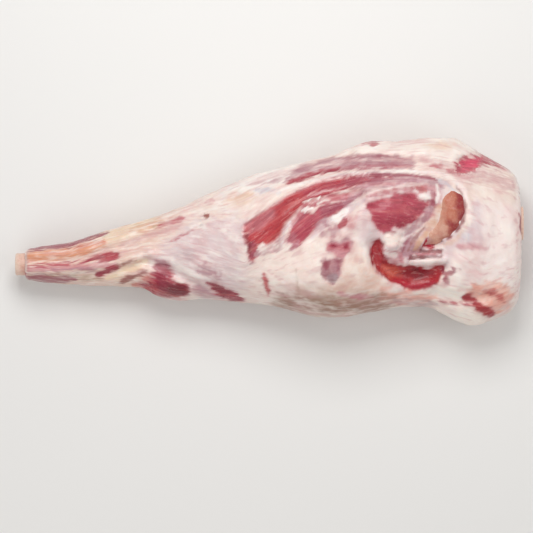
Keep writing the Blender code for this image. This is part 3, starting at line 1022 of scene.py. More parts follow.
HIP_MARKS: tuple[Mark, ...] = (
    Patch(
        Tint.LILAC_FAT,
        (
            *((76, 8), (80, 26), (96, 38), (120, 43), (146, 43), (166, 34), (172, 10), (166, -14)),
            *((158, -34), (148, -44), (124, -46), (100, -38), (86, -26), (78, -8)),
        ),
        soft=4, ragged=2, strength=0.75,
    ),
    Streak(
        Tint.MAUVE_VEIL, ((74, 37), (88, 41), (106, 43.5), (126, 44), (144, 42), (156, 36)),
        Tissue.VEIL,
        strength=0.9, soft=1.5, ragged=2, mottle=0.25, half_width=3.6,
    ),
    Streak(
        Tint.MAUVE_VEIL, ((70, 28), (80, 34), (94, 38), (112, 40)), Tissue.LEAN,
        strength=0.6, soft=2, mottle=0.2, half_width=3,
    ),
    Streak(
        Tint.CREAM_FAT, ((72, 20), (78, 28), (90, 33), (104, 36), (120, 39.5), (140, 40)),
        strength=0.5, soft=1.0, half_width=1.8, rise=0.6,
    ),
    Streak(Tint.COOL_FAT, ((146, 46), (155, 42), (162, 36), (167, 28)), soft=1.2, half_width=2.0),
    Streak(
        Tint.ROSE_LEAN, ((84, 29), (98, 32), (112, 35.5), (126, 36)), Tissue.LEAN,
        strength=0.7, soft=1.2, mottle=0.35, half_width=2.2,
    ),
    Patch(
        Tint.CORAL_LEAN, ((129, 38), (137, 38), (138, 33), (131, 32)), Tissue.LEAN,
        strength=0.75, ragged=1.8,
    ),
    Patch(
        Tint.ROSE_LEAN,
        (
            *((85, 24), (97, 27), (108, 28.5), (113, 32), (124, 33), (131, 32), (131, 27.5)),
            *((140, 26), (142, 21.5), (137, 16), (132, 10), (127, 4.5), (120, 2), (109, 1)),
            *((103, -3), (96, -3), (91, 4.5), (86, 14)),
        ),
        Tissue.LEAN,
        rise=-1.1, halo=4,
    ),
    Patch(
        Tint.CRIMSON_LEAN, ((86, 21), (98, 24), (101, 12), (92, 5)), Tissue.LEAN,
        strength=0.55, soft=3, mottle=0.3,
    ),
    Patch(
        Tint.CRIMSON_LEAN,
        ((100, 24), (118, 29), (134, 19), (122, 5), (106, 4), (97, 0), (95, 10), (104, 15)),
        Tissue.LEAN,
        strength=0.6, soft=4, ragged=2.5, mottle=0.4,
    ),
    Streak(
        Tint.MAUVE_LEAN, ((96, -3), (103, -3.5), (111, -2.5)), Tissue.LEAN,
        strength=0.8, mottle=0.3, half_width=1.5,
    ),
    Patch(
        Tint.WHITE_FAT, ((131, 32), (137, 32), (143, 28.5), (137, 26), (131, 28)),
        strength=0.9, ragged=1.3,
    ),
    Patch(
        Tint.ROSE_VEIL,
        ((136, 40), (150, 39), (152, 20), (144, 6), (134, 4), (142, 20), (142, 32)), Tissue.VEIL,
        strength=0.9, soft=1.5, mottle=0.3, rise=-0.4,
    ),
    Streak(
        Tint.MAUVE_LEAN, ((142.5, 35), (145, 30), (145.5, 22), (142, 16)), Tissue.LEAN,
        strength=0.85, mottle=0.45, half_width=1.9,
    ),
    Streak(
        Tint.WHITE_FAT, ((147, 41), (148.5, 31), (147, 23)),
        strength=0.9, soft=0.8, ragged=1.0, half_width=1.2, rise=0.4,
    ),
    Streak(
        Tint.MAUVE_VEIL, ((143, 19), (135, 8), (125, 0), (113, -7)), Tissue.VEIL,
        strength=0.9, soft=1.2, ragged=2, mottle=0.4, half_width=3.8,
    ),
    Streak(
        Tint.CREAM_FAT, ((147, 15), (139, 4), (128, -3), (116, -11)),
        strength=0.75, soft=1.0, half_width=1.5, rise=0.5,
    ),
    Streak(
        Tint.TAN_FAT, ((152, 24), (147.5, 12), (142, 2), (137, -7)),
        strength=0.7, soft=2.5, half_width=3.5,
    ),
    Streak(
        Tint.TAN_FAT, ((170, 38), (176.5, 26), (174.5, 6), (164, -9), (150, -16)),
        strength=0.45, soft=2, half_width=2.6, rise=0.6,
    ),
    Streak(
        Tint.SEAM, ((164, 41), (170, 34), (172.5, 22), (170, 7), (163, -4), (156, -9)),
        Tissue.LEAN,
        strength=0.8, soft=1.2, half_width=2.2, rise=-0.8,
    ),
    Patch(
        Tint.CREAM_FAT,
        ((98, -5), (104, -4), (112, -4), (119, -6), (118, -13), (108, -16), (99, -15)),
        soft=2.2, ragged=2.2, mottle=0.15, rise=-1.8,
    ),
    Patch(
        Tint.MAUVE_VEIL,
        ((120, -4), (128, -6), (134, -13), (130, -22), (122, -26), (114, -24), (117, -14)),
        Tissue.VEIL,
        strength=0.85, soft=1.6, ragged=2.2, mottle=0.35,
    ),
    Streak(
        Tint.TAN_FAT, ((141, 1), (134, -8), (127, -19)),
        strength=0.75, soft=1.2, mottle=0.3, half_width=2.4,
    ),
    Streak(
        Tint.BROWN_LEAN, ((136, 2), (127, -8), (121, -20)), Tissue.VEIL,
        strength=0.8, soft=1.0, mottle=0.4, half_width=1.5,
    ),
    Streak(
        Tint.MAUVE_LEAN, ((128, -2), (121, -10), (116, -20)), Tissue.VEIL,
        strength=0.7, soft=1.0, mottle=0.4, half_width=1.4,
    ),
    Patch(
        Tint.RED_LEAN,
        (
            *((96, -7), (92, -12), (88, -17), (87, -22.5), (89, -29), (94, -37), (103, -45)),
            *((113, -49), (122, -53), (131, -55), (140, -52), (148, -49), (152, -41), (154, -33)),
            *((146, -33), (140, -36), (133, -32), (120, -31.5), (112, -32), (105, -30)),
            *((100, -23), (97, -14)),
        ),
        Tissue.LEAN,
        rise=-1.0, halo=3,
    ),
    Streak(
        Tint.BRIGHT_LEAN, ((108, -44), (120, -50), (134, -52), (146, -47)), Tissue.LEAN,
        strength=0.75, soft=1.8, half_width=2.8,
    ),
    Patch(
        Tint.ORANGE_LEAN, ((99, -32), (112, -34), (116, -41), (108, -43), (99, -38)), Tissue.LEAN,
        strength=0.9, soft=2.5,
    ),
    # The dark core of the crescent groove, this patch and the streak after it: the muscle's own
    # dark red, deepened as painted shade in the groove.
    Patch(
        Tint.MAROON_LEAN,
        ((117, -32), (128, -33), (138, -35), (140, -41), (134, -46), (121, -43)), Tissue.LEAN,
        strength=0.42, soft=2, ragged=2.5, mottle=0.2,
    ),
    Streak(
        Tint.DARK_LEAN, ((126, -36), (132, -38), (136, -42)), Tissue.LEAN,
        strength=0.7, ragged=1.8, mottle=0.4, half_width=2.2,
    ),
    Patch(
        Tint.ROSE_VEIL, ((98, -17), (106, -18), (116, -22), (118, -30), (108, -31), (101, -27)),
        Tissue.LEAN,
        strength=0.9, ragged=2.2, mottle=0.35, rise=0.4,
    ),
    Streak(Tint.WHITE_FAT, ((100, -20), (105, -22), (111, -23)), mottle=0.3, half_width=1.7),
    Patch(
        Tint.MAROON_LEAN, ((134, -18), (142, -18), (153, -18), (153, -21.5), (134, -21.5)),
        Tissue.LEAN,
        strength=0.85, soft=0.9, rise=-0.4,
    ),
    Patch(
        Tint.MAROON_LEAN,
        ((122, -22.5), (132, -22), (153, -22.5), (152, -26), (138, -26.5), (123, -26.5)),
        Tissue.LEAN,
        strength=0.8, soft=0.9, mottle=0.15, rise=-0.4,
    ),
    Streak(
        Tint.ROSE_VEIL, ((124, -21.5), (136, -21.8), (150, -22)), Tissue.VEIL,
        strength=0.85, soft=0.6, ragged=0.6, half_width=0.7,
    ),
    Patch(
        Tint.BRIGHT_LEAN,
        ((135, -15), (138, -8), (144, -6.5), (148, -9), (147, -14), (141, -17.5)), Tissue.LEAN,
        rise=-1.2, soft=1.0, ragged=0.9, halo=2,
    ),
    Streak(
        Tint.DARK_LEAN, ((145, -9.5), (149, -10), (153, -10)), Tissue.LEAN,
        soft=0.7, ragged=0.7, half_width=1.4,
    ),
    Streak(Tint.CHUMP_FAT, ((146, -14.5), (150, -15), (155, -15)), soft=0.7, half_width=1.5),
    Streak(
        Tint.CHUMP_FAT, ((122, -30), (134, -29.5), (146, -29), (156, -28)),
        soft=1.0, ragged=0.9, half_width=2.4, rise=0.6,
    ),
    Patch(
        Tint.MAUVE_LEAN, ((153, -36), (160, -35), (166, -38), (161, -44), (155, -50), (151, -45)),
        Tissue.LEAN,
        strength=0.85, soft=1.2, ragged=2.8, mottle=0.6,
    ),
)

CHUMP_MARKS: tuple[Mark, ...] = (
    Patch(
        Tint.FLAP_FAT,
        (
            *((58, 67), (76, 70.5), (100, 70.5), (126, 69), (146, 62), (160, 60), (176, 66)),
            *((186, 72), (170, 90), (120, 92), (84, 92), (66, 82)),
        ),
        soft=1.6, ragged=1.6, rise=1.1,
    ),
    Patch(
        Tint.TAN_FAT, ((136, 76), (150, 79), (164, 77), (162, 72), (146, 72)),
        strength=0.5, soft=3, ragged=2,
    ),
    Streak(
        Tint.PINK_FAT, ((64, 74), (92, 79), (120, 79), (140, 80)),
        strength=0.6, soft=2, half_width=1.5,
    ),
    Patch(
        Tint.ROSE_LEAN, ((82, 78), (86, 83), (96, 83), (101, 79), (92, 76)), Tissue.LEAN,
        strength=0.85, ragged=2.2, mottle=0.2,
    ),
    Patch(
        Tint.PINK_VEIL,
        ((132, 66), (146, 62), (164, 56), (180, 46), (178, 38), (160, 44), (146, 52), (134, 57)),
        Tissue.VEIL,
        strength=0.55, soft=4, ragged=3,
    ),
    Streak(
        Tint.CHUMP_FAT, ((140, 52), (156, 49), (170, 38), (177, 22), (176, 4)),
        strength=0.9, soft=1.8, half_width=2.4, rise=0.4,
    ),
    Streak(
        Tint.ROSE_LEAN, ((141, 58), (147, 57), (153, 56)), Tissue.VEIL,
        strength=0.75, mottle=0.35, half_width=2.4,
    ),
    Streak(
        Tint.ROSE_LEAN, ((156, 54), (163, 52), (170, 50)), Tissue.LEAN,
        strength=0.7, mottle=0.2, half_width=1.8,
    ),
    Patch(
        Tint.ROSE_LEAN,
        (
            *((166, 52), (166, 59), (170, 64), (180, 66), (192, 69), (205, 66), (216, 58)),
            *((210, 56), (196, 60), (186, 58), (182, 52), (174, 51)),
        ),
        Tissue.LEAN,
        rise=-0.7, soft=1.6, ragged=2.6, mottle=0.2, halo=5,
    ),
    Patch(
        Tint.PINK_LEAN, ((168, 62), (175, 64), (190, 66), (186, 59), (181, 54), (172, 53)),
        Tissue.LEAN,
        strength=0.9, soft=2.5,
    ),
    Patch(
        Tint.PINK_VEIL, ((176, 52), (190, 54), (222, 44), (222, 34), (196, 42), (180, 44)),
        Tissue.VEIL,
        strength=0.6, soft=4, ragged=3, mottle=0.3,
    ),
    Streak(
        Tint.ROSE_VEIL, ((164, -15), (176, -15), (192, -17)), Tissue.VEIL,
        strength=0.7, soft=2, half_width=2.4,
    ),
    Patch(
        Tint.CORAL_FAT,
        ((96, -51), (112, -54), (130, -59), (149, -57), (149, -63), (120, -67), (98, -63)),
        strength=0.85, soft=3, ragged=3,
    ),
    # Painted shade: brown over the lower edge near the chump, where the side turns under, away from
    # the key light.
    Patch(
        Tint.SHADED_UNDERSIDE_FAT, ((86, -58), (98, -55), (112, -60), (110, -69), (92, -70)),
        strength=0.65, soft=4, ragged=3,
    ),
    Streak(
        Tint.GREY_VEIL, ((110, -63), (130, -65), (150, -67)), Tissue.VEIL,
        strength=0.6, soft=2, mottle=0.4, half_width=3,
    ),
    # Painted light: a lobe of cream fat painted brighter than its own colour, where it turns down,
    # away from the key light.
    Patch(
        Tint.LIT_LOBE_FAT, ((149, -51), (166, -53), (178, -56), (174, -62), (156, -63), (148, -58)),
        soft=2, ragged=2, rise=0.5,
    ),
    Streak(
        Tint.ROSE_LEAN, ((148, -64.5), (162, -66), (176, -67), (186, -69)), Tissue.LEAN,
        strength=0.8, soft=1.2, half_width=1.4,
    ),
    Patch(
        Tint.CORAL_FAT,
        (
            *((175, -54), (184, -49), (196, -46), (212, -50), (220, -58)),
            *((212, -70), (198, -76), (184, -70), (178, -62)),
        ),
        Tissue.VEIL,
        rise=-0.3, soft=3, ragged=3, mottle=0.2,
    ),
    Streak(
        Tint.RED_LEAN, ((171, -61), (178, -61.5), (185, -64)), Tissue.LEAN,
        strength=0.95, ragged=1.2, half_width=2.8, halo=2.5,
    ),
    Streak(
        Tint.RED_LEAN, ((181, -66), (190, -71), (201, -77)), Tissue.LEAN,
        strength=0.95, ragged=1.2, half_width=3.6, halo=3,
    ),
    Streak(
        Tint.CORAL_LEAN, ((190, -54), (201, -58), (211, -66)), Tissue.LEAN,
        strength=0.7, soft=2, ragged=2.5, mottle=0.3, half_width=2.6,
    ),
    # Painted light: a lobe of cream fat painted brighter than its own colour, where it turns down,
    # away from the key light.
    Patch(
        Tint.LIT_LOBE_FAT,
        (
            *((148, -69), (160, -68.5), (172, -70.5), (184, -76)),
            *((194, -84), (186, -92), (160, -90), (148, -80)),
        ),
        soft=2.5, ragged=1.5, rise=0.4,
    ),
)

# The chump's cut face, seen from +X: Y across it and Z up.
FACE_MARKS: tuple[Mark, ...] = (
    Patch(Tint.CHUMP_FAT, ((-80, -10), (-80, 80), (60, 80), (60, -10)), soft=1.0),
    Patch(
        Tint.CRIMSON_LEAN,
        (
            *((-56, 26), (-52, 40), (-38, 49), (-25, 52), (-15, 46), (-12, 36)),
            *((-13, 24), (-21, 15), (-38, 12), (-50, 16)),
        ),
        Tissue.LEAN,
        rise=-0.6, halo=3,
    ),
    Patch(
        Tint.ROSE_LEAN, ((-52, 36), (-40, 45), (-26, 49), (-20, 42), (-34, 36), (-46, 30)),
        Tissue.LEAN,
        strength=0.7, soft=3,
    ),
    Patch(
        Tint.ROSE_LEAN,
        (
            *((-7, 13), (-9, 24), (-4, 34), (8, 37), (20, 34), (32, 31)),
            *((38, 23), (33, 13), (16, 9), (2, 9)),
        ),
        Tissue.LEAN,
        rise=-0.6, halo=3,
    ),
    Patch(
        Tint.CRIMSON_LEAN, ((2, 10), (6, 22), (20, 26), (34, 24), (30, 13), (14, 9)), Tissue.LEAN,
        strength=0.75, soft=3,
    ),
    Patch(
        Tint.CRIMSON_LEAN, ((25, 38), (27, 46), (33, 45), (37, 37), (32, 34)), Tissue.LEAN,
        rise=-0.5, halo=2,
    ),
    Patch(
        Tint.MAUVE_LEAN, ((-14, 50), (-10, 57), (2, 60), (14, 58), (10, 54), (-4, 52)),
        Tissue.LEAN,
        rise=-0.4, halo=2,
    ),
    Streak(
        Tint.MAROON_LEAN, ((-46, 20), (-34, 22), (-22, 30)), Tissue.LEAN,
        strength=0.45, soft=4, half_width=4,
    ),
    Streak(
        Tint.PINK_FAT, ((-55, 31), (-44, 31), (-34, 35), (-22, 42)),
        soft=0.8, strength=0.85, half_width=0.9,
    ),
    Streak(
        Tint.PINK_FAT, ((-26, 16), (-24, 24), (-18, 32)),
        soft=0.8, strength=0.5, half_width=0.6,
    ),
    Streak(
        Tint.PINK_FAT, ((-4, 20), (6, 24), (20, 27), (34, 26)),
        soft=0.8, strength=0.85, half_width=0.8,
    ),
)

# The shank's sawn end, seen from -X: Y across it and Z up.
SHANK_FACE_MARKS: tuple[Mark, ...] = (
    Patch(
        Tint.ROSE_LEAN, ((-44, 10), (-44, 34), (-18, 34), (-18, 10)), Tissue.LEAN,
        soft=2.5, ragged=2.5,
    ),
    Streak(Tint.CREAM_FAT, ((-31, 33), (-22, 31), (-18, 22)), half_width=3.0, soft=1.5),
    Streak(Tint.CREAM_FAT, ((-43, 14), (-34, 9), (-24, 10)), half_width=2.4, soft=1.5),
)


@dataclass
class Surface:
    """The meat's surface while it is painted: one row for each vertex."""

    EDGE: ClassVar[Ripple] = Ripple(3.2, 11.0, 3, (0.3, 1.0, 0.6))
    EDGE_DEPTH: ClassVar[float] = 1.7
    SPECKLE: ClassVar[Ripple] = Ripple(4.2, 27.0, 2, (0.6, 1.0, 0.8))
    SPECKLE_RANGE: ClassVar[Point] = (-0.15, 0.3)
    HALO_STRENGTH: ClassVar[float] = 0.4

    points: Array
    grain: Array
    tint: Array
    lean: Array
    rise: Array
    edge: Array
    speckle: Array

    @classmethod
    def plain(cls, points: Array, grain: Array, tint: Tint) -> Surface:
        """A surface of fat in one tint.

        Args:
            points: places in millimetres.
            grain: places along and across the fibres, in millimetres.
            tint: the fat's colour.

        Returns:
            The surface, ready for marks.
        """
        count = len(points)
        edge = cls.EDGE_DEPTH * cls.EDGE.at(grain)
        return cls(
            points=points,
            grain=grain,
            tint=np.tile(rgb(tint), (count, 1)),
            lean=np.zeros(count),
            rise=np.zeros(count),
            edge=edge,
            speckle=cls.SPECKLE.at(grain),
        )

    def blend(self, mask: Array, tint: Tint, tissue: Tissue, rise: float = 0.0) -> None:
        """Lays a tint over the surface.

        Args:
            mask: how much each point takes of it, 0 to 1.
            tint: the colour.
            tissue: what lies there.
            rise: how far it stands above what is round it, in millimetres.
        """
        self.tint += mask[:, None] * (rgb(tint) - self.tint)
        self.lean += mask * (tissue.value - self.lean)
        self.rise += mask * rise

    def draw(self, marks: tuple[Mark, ...], axes: tuple[int, int], where: Array) -> None:
        """Draws marks with edges that run out along the fibres.

        Args:
            marks: what to draw, in order.
            axes: which coordinates of the points the marks are drawn in.
            where: how much each point takes of a mark, 0 to 1.
        """
        x, y = self.points[:, axes[0]], self.points[:, axes[1]]
        for mark in marks:
            corners = np.array(mark.line, float)
            low, high = corners.min(0) - mark.margin, corners.max(0) + mark.margin
            near = (x > low[0]) & (x < high[0]) & (y > low[1]) & (y < high[1]) & (where > 0)
            depth = mark.depth(x[near], y[near]) + mark.ragged * self.edge[near]
            share = mark.strength * where[near]
            if mark.halo:
                veil = np.zeros(len(x))
                veil[near] = smooth_step(depth, -mark.halo, 0.0) * share * self.HALO_STRENGTH
                self.blend(veil, Tint.ROSE_VEIL, Tissue.VEIL)
            mask = np.zeros(len(x))
            mask[near] = smooth_step(depth, -mark.soft, mark.soft) * share
            mask[near] *= 1.0 - mark.mottle * smooth_step(self.speckle[near], *self.SPECKLE_RANGE)
            self.blend(mask, mark.tint, mark.tissue, mark.rise)


def ball(around: int, along: int) -> bmesh.types.BMesh:
    """A sphere whose poles lie on X, to be drawn out into a long form.

    Args:
        around: how many sides it has.
        along: how many steps there are from pole to pole.

    Returns:
        The sphere, with a radius of 1.
    """
    mesh = bmesh.new()
    bmesh.ops.create_uvsphere(mesh, u_segments=around, v_segments=along, radius=1.0)
    bmesh.ops.rotate(mesh, verts=mesh.verts, matrix=Matrix.Rotation(math.pi / 2, 3, "Y"))
    return mesh


def read_vectors(rows: Any, name: str) -> Array:
    """Reads one vector for each vertex.

    Args:
        rows: a mesh's vertices or its vertex normals.
        name: the property that holds the vector.

    Returns:
        One row for each vertex.
    """
    flat = np.empty(len(rows) * 3)
    rows.foreach_get(name, flat)
    return flat.reshape(-1, 3)


def place_vertices(data: bpy.types.Mesh, points: Array) -> None:
    """Moves a mesh's vertices to the points."""
    data.vertices.foreach_set("co", points.ravel())
    data.update()


def pole_coordinates(points: Array) -> tuple[Array, Array]:
    """Each point's place from pole to pole of a ball, 0 to 1, and its angle round X."""
    place = np.arccos(np.clip(-points[:, 0], -1.0, 1.0)) / math.pi
    return place, np.arctan2(points[:, 2], points[:, 1])


def add_values(data: bpy.types.Mesh, name: str, values: Array) -> None:
    """Stores one number for each vertex."""
    made = data.attributes.new(name, "FLOAT", "POINT")
    made.data.foreach_set("value", values.astype(np.float32))


def add_vectors(data: bpy.types.Mesh, name: str, vectors: Array) -> None:
    """Stores one vector for each vertex."""
    made = data.attributes.new(name, "FLOAT_VECTOR", "POINT")
    made.data.foreach_set("vector", vectors.astype(np.float32).ravel())


def add_colours(data: bpy.types.Mesh, name: str, colours: Array) -> None:
    """Stores one linear colour for each vertex.

    Args:
        data: the mesh.
        name: the attribute's name.
        colours: red, green and blue for each vertex.
    """
    made = data.color_attributes.new(name, "FLOAT_COLOR", "POINT")
    with_alpha = np.column_stack([colours, np.ones(len(colours))])
    made.data.foreach_set("color", with_alpha.astype(np.float32).ravel())


def finish_mesh(
    mesh: bmesh.types.BMesh, name: str, material: bpy.types.Material
) -> bpy.types.Object:
    """Turns a bmesh into a smooth object of the scene.

    Args:
        mesh: the shape, in place.
        name: the object's name.
        material: its finish.

    Returns:
        The object, at the origin.
    """
    bmesh.ops.recalc_face_normals(mesh, faces=mesh.faces)
    data = bpy.data.meshes.new(name)
    mesh.to_mesh(data)
    mesh.free()
    data.shade_smooth()
    data.materials.append(material)
    made = bpy.data.objects.new(name, data)
    bpy.context.scene.collection.objects.link(made)
    return made


@dataclass(frozen=True)
class Weave:
    """A noise in a finish, from about 0.3 to 0.7.

    Attributes:
        width: size of its largest lumps, in millimetres.
        detail: how many finer layers it has.
        roughness: how strong those are.
        stretch: how it is drawn out along the fibres, across them and upwards. Without one it
            is even on all sides and follows the piece.
    """

    width: float
    detail: float = 3.0
    roughness: float = 0.5
    stretch: tuple[float, float, float] | None = None


@dataclass(frozen=True)
class Tinge:
    """A tint that a finish takes where one of its noises runs from a start to an end."""

    weave: Weave
    start: float
    end: float
    strength: float
    tint: Tint
    tissue: Tissue | None = None


class Recipe:
    """A material's node tree while it is written."""

    def __init__(self, name: str) -> None:
        """Starts a material with only its output and its shader.

        Args:
            name: the material's name.
        """
        self.material = bpy.data.materials.new(name)
        self.material.use_nodes = True
        self.tree = self.material.node_tree
        self.shader = self.tree.nodes["Principled BSDF"]

    def feed(self, socket: Any, value: Any) -> None:
        """Gives a socket its input.

        Args:
            socket: the socket.
            value: the output to link to it, or the value to set it to.
        """
        if isinstance(value, bpy.types.NodeSocket):
            self.tree.links.new(value, socket)
        else:
            socket.default_value = value

    def add(self, kind: str, links: dict[Any, Any] | tuple[Any, ...] = (), **settings: Any) -> Any:
        """Adds a node.

        Args:
            kind: the node's type without its ShaderNode prefix.
            links: the output or the value that its inputs take, in their order or by name or
                number.
            settings: the node's own properties.

        Returns:
            The new node.
        """
        node = self.tree.nodes.new(f"ShaderNode{kind}")
        for key, value in settings.items():
            setattr(node, key, value)
        for key, value in links.items() if isinstance(links, dict) else enumerate(links):
            self.feed(node.inputs[key], value)
        return node

    def shade(self, inputs: dict[str, Any]) -> None:
        """Feeds the shader's sockets, by name, with outputs or constants."""
        for name, value in inputs.items():
            self.feed(self.shader.inputs[name], value)


@dataclass(frozen=True)
class RawFinish:
    """What raw meat and fresh bone share: a tint painted on the mesh, varied by noises."""

    WEAVES: ClassVar[tuple[Weave, ...]] = ()
    TINGES: ClassVar[tuple[Tinge, ...]] = ()

    def noises(self, recipe: Recipe) -> dict[Weave, Any]:
        """Adds the finish's noises.

        Args:
            recipe: the material being written.

        Returns:
            The output that carries each noise.
        """
        place = recipe.add("TexCoord").outputs["Object"]
        made = {}
        for weave in self.WEAVES:
            vector = place
            if weave.stretch:
                grain = recipe.add("Attribute", attribute_name="grain").outputs["Vector"]
                drawn_out = {"Vector": grain, "Scale": weave.stretch}
                vector = recipe.add("Mapping", drawn_out).outputs[0]
            links = {"Vector": vector, "Scale": 1.0 / (weave.width * MM), "Detail": weave.detail}
            texture = recipe.add("TexNoise", {**links, "Roughness": weave.roughness})
            made[weave] = texture.outputs["Fac"]
        return made

    def colour(self, recipe: Recipe, noises: dict[Weave, Any], tissues: dict[Tissue, Any]) -> Any:
        """Lays the finish's tinges over the tint of the mesh, in their order.

        Args:
            recipe: the material being written.
            noises: the output that carries each noise.
            tissues: the output that says how much of a tissue there is.

        Returns:
            The output that carries the colour.
        """
        colour = recipe.add("Attribute", attribute_name="tint").outputs["Color"]
        for tinge in self.TINGES:
            span = (noises[tinge.weave], tinge.start, tinge.end, 0.0, tinge.strength)
            share = recipe.add("MapRange", span).outputs[0]
            if tinge.tissue:
                factors = (share, tissues[tinge.tissue])
                share = recipe.add("Math", factors, operation="MULTIPLY").outputs[0]
            layers = {0: share, 6: colour, 7: linear(tinge.tint.value)}
            colour = recipe.add("Mix", layers, data_type="RGBA").outputs[2]
        return colour


@dataclass(frozen=True)
class RawMeatFinish(RawFinish):
    """Fresh raw lamb, skinned and trimmed: damp cream fat, silverskin, and moist muscle.

    Its damp skin gives soft, broken highlights, and light goes a little way into it, which
    keeps the fat from looking like plaster.
    """

    FAT_DRAW: ClassVar[tuple[float, float, float]] = (0.4, 1.0, 0.7)
    FIBRE_DRAW: ClassVar[tuple[float, float, float]] = (1.0 / 14.0, 1.0, 0.5)
    CLOUDS: ClassVar[Weave] = Weave(13.0, stretch=FAT_DRAW)
    CREAM: ClassVar[Weave] = Weave(7.0, stretch=FAT_DRAW)
    FILMS: ClassVar[Weave] = Weave(2.0, detail=2.0, stretch=FIBRE_DRAW)
    BUNDLES: ClassVar[Weave] = Weave(4.5, detail=2.0, stretch=FIBRE_DRAW)
    # Muscle fibres are well under 0.1 mm thick. They are drawn in strands of about 1 mm, which
    # the render can show.
    FIBRES: ClassVar[Weave] = Weave(1.1, roughness=0.6, stretch=FIBRE_DRAW)
    FLECKS: ClassVar[Weave] = Weave(3.2, detail=4.0, roughness=0.7, stretch=(0.22, 1.0, 0.6))
    GRIT: ClassVar[Weave] = Weave(0.9, roughness=0.6)
    WET: ClassVar[Weave] = Weave(6.0)
    WEAVES: ClassVar[tuple[Weave, ...]] = (
        *(CLOUDS, CREAM, FILMS, BUNDLES),
        *(FIBRES, FLECKS, GRIT, WET),
    )
    TINGES: ClassVar[tuple[Tinge, ...]] = (
        # Fat is never one colour: it blushes where muscle lies close below, and is creamy
        # where it is thick.
        Tinge(CLOUDS, 0.5, 0.72, 0.45, Tint.BLUSH, Tissue.FAT),
        Tinge(CREAM, 0.48, 0.7, 0.55, Tint.THICK_FAT, Tissue.FAT),
        # Films of silverskin and small vessels run along the fibres under the fat.
        Tinge(FILMS, 0.56, 0.7, 0.38, Tint.VESSEL, Tissue.FAT),
        Tinge(FILMS, 0.44, 0.32, 0.3, Tint.SILVERSKIN, Tissue.FAT),
        # Muscle: broad bundles, some bright and some dark, each of fine fibres.
        Tinge(BUNDLES, 0.5, 0.7, 0.45, Tint.DARK_BUNDLE, Tissue.LEAN),
        Tinge(BUNDLES, 0.46, 0.3, 0.3, Tint.BRIGHT_BUNDLE, Tissue.LEAN),
        Tinge(FIBRES, 0.5, 0.68, 0.45, Tint.DARK_FIBRE, Tissue.LEAN),
        Tinge(FIBRES, 0.44, 0.33, 0.2, Tint.PALE_FIBRE, Tissue.LEAN),
        # Marbling: pale flecks of fat between the bundles of muscle.
        Tinge(FLECKS, 0.62, 0.7, 0.38, Tint.FLECK, Tissue.LEAN),
    )
    SKIN: ClassVar[dict[str, Any]] = {
        "Subsurface Weight": 0.12,
        "Subsurface Radius": (1.0, 0.4, 0.28),
        "Subsurface Scale": 2.0 * MM,
        "Specular IOR Level": 0.4,
        "Coat Weight": 0.2,
        "Coat Roughness": 0.15,
    }

    grit_depth: float = 0.25
    fibre_depth: float = 0.35
    fibre_share_on_fat: float = 0.35
    wet_range: Point = (0.35, 0.65)
    wet_roughness: Point = (0.28, 0.5)
    # what fat adds to the roughness, and what muscle does
    tissue_roughness: Point = (0.04, -0.05)

    def build(self) -> bpy.types.Material:
        """Writes the material, which reads the tint, the lean and the grain of its mesh.

        Returns:
            The material.
        """
        recipe = Recipe("raw_lamb_meat_and_fat")
        lean = recipe.add("Attribute", attribute_name="lean").outputs["Fac"]
        fat = recipe.add("Math", (1.0, lean), operation="SUBTRACT").outputs[0]
        noises = self.noises(recipe)
        grit = {"Height": noises[self.GRIT], "Distance": self.grit_depth * MM, "Strength": 1.0}
        normal = recipe.add("Bump", grit).outputs[0]
        by_lean = recipe.add("MapRange", (lean, 0.0, 1.0, self.fibre_share_on_fat, 1.0)).outputs[0]
        factors = (noises[self.FIBRES], by_lean)
        height = recipe.add("Math", factors, operation="MULTIPLY").outputs[0]
        fibres = {"Height": height, "Distance": self.fibre_depth * MM, "Strength": 1.0}
        wet = (noises[self.WET], *self.wet_range, *self.wet_roughness)
        tissue = (lean, 0.0, 1.0, *self.tissue_roughness)
        terms = tuple(recipe.add("MapRange", links).outputs[0] for links in (wet, tissue))
        recipe.shade(
            {
                "Base Color": self.colour(recipe, noises, {Tissue.FAT: fat, Tissue.LEAN: lean}),
                "Roughness": recipe.add("Math", terms, operation="ADD").outputs[0],
                "Normal": recipe.add("Bump", {**fibres, "Normal": normal}).outputs[0],
                **self.SKIN,
            }
        )
        return recipe.material


